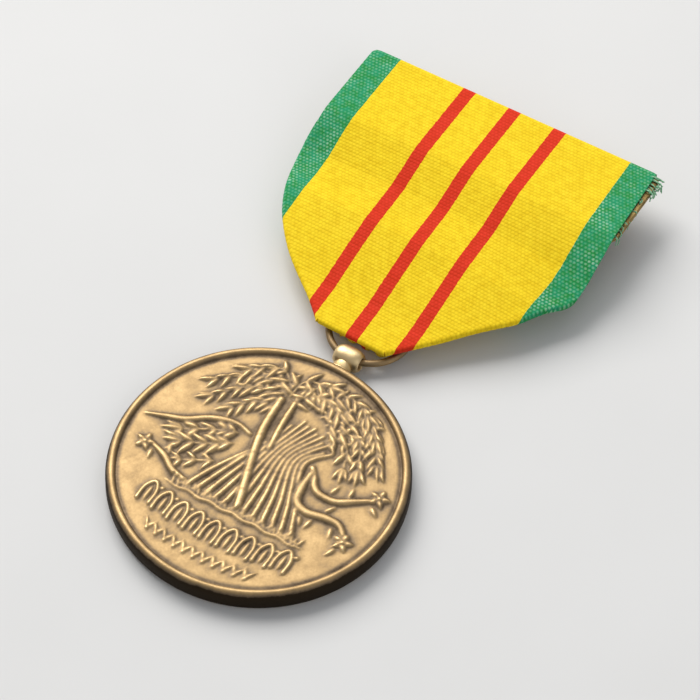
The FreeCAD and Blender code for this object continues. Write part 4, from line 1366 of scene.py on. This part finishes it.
def catch_barrel():
    """The knurled drum with its journals, and the lever that turns it over the needle."""
    left, right = BARREL_LOW[0], BARREL_HIGH[0]
    knurls = drum_section(DRUM_R, KNURL_DEPTH, KNURLS)
    knurled = slab(knurls, left + DRUM_INSET, right - DRUM_INSET, "x")
    journal = slab(drum_section(JOURNAL_R), left, right, "x")
    paddle = rounded_rectangle(LEVER_WIDTH, LEVER_LENGTH, 0.36, (CATCH_X, PIN_Y + LEVER_OUT))
    lever = slab(paddle, PIN_Z - LEVER_HALF, PIN_Z + LEVER_HALF)
    parts = [eased(knurled, 0.03, 70), eased(journal, 0.02, 70), eased(lever, 0.05)]
    barrel = fitting("catch_drum", parts)
    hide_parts("catch_barrel")
    return dress(barrel, BRASS, "catch")


# ------------------------------------------------------------------ floor, lights and camera


def floor():
    """A wide plain plane under the medal."""
    half = 900.0
    points = [(-half, -half, 0), (half, -half, 0), (half, half, 0), (-half, half, 0)]
    thing = make_mesh("floor", points, [[(0, 1, 2, 3)]])
    thing.data.materials.append(floor_material())


def area_light(name, at, power, colour=(1, 1, 1)):
    """A square soft light at a place in metres, aimed at the medal."""
    data = bpy.data.lights.new(name, "AREA")
    data.shape = "SQUARE"
    data.size, data.energy, data.color = 0.60, power, colour
    light = bpy.data.objects.new(name, data)
    bpy.context.scene.collection.objects.link(light)
    light.location = at
    light.rotation_mode = "QUATERNION"
    light.rotation_quaternion = (-Vector(at)).to_track_quat("-Z", "Y")


def lights():
    """Three soft lights and an even sky."""
    area_light("key", (-0.50, 0.30, 0.56), 6.9, (1.0, 0.985, 0.96))
    area_light("back", (-0.10, 0.66, 0.60), 1.1)
    area_light("fill", (0.60, -0.30, 0.50), 0.8, (0.94, 0.97, 1.0))
    world = bpy.data.worlds.new("soft_studio")
    bpy.context.scene.world = world
    world.use_nodes = True
    background = world.node_tree.nodes["Background"]
    background.inputs["Color"].default_value = (0.95, 0.97, 1.0, 1)
    background.inputs["Strength"].default_value = 0.36


CAMERA_AT = Vector((157.0, -265.3, 421.2)) * MM
CAMERA_RIGHT = Vector((0.862, 0.505, 0.044))
CAMERA_AIM = Vector((0.4, -1.0, 2.5)) * MM
LENS = 252.0


def camera():
    """Long lens at the viewing angle, a little rolled."""
    data = bpy.data.cameras.new("camera")
    data.sensor_width, data.lens = 36.0, LENS
    data.clip_start, data.clip_end = 0.02, 20.0
    thing = bpy.data.objects.new("camera", data)
    bpy.context.scene.collection.objects.link(thing)
    back = (CAMERA_AT - CAMERA_AIM).normalized()
    right = (CAMERA_RIGHT - back * CAMERA_RIGHT.dot(back)).normalized()
    up = back.cross(right)
    turn = Matrix((right, up, back)).transposed()
    thing.matrix_world = Matrix.Translation(CAMERA_AT) @ turn.to_4x4()
    bpy.context.scene.camera = thing


camera()
lights()
floor()
bpy.context.scene.view_settings.view_transform = "Standard"

pendant()
bead()
ring()
ribbon()
frayed_threads()
tack_stitches()
brooch_front()
brooch_plate()
hinge()
hinge_rivet()
pin()
catch_housing()
catch_barrel()
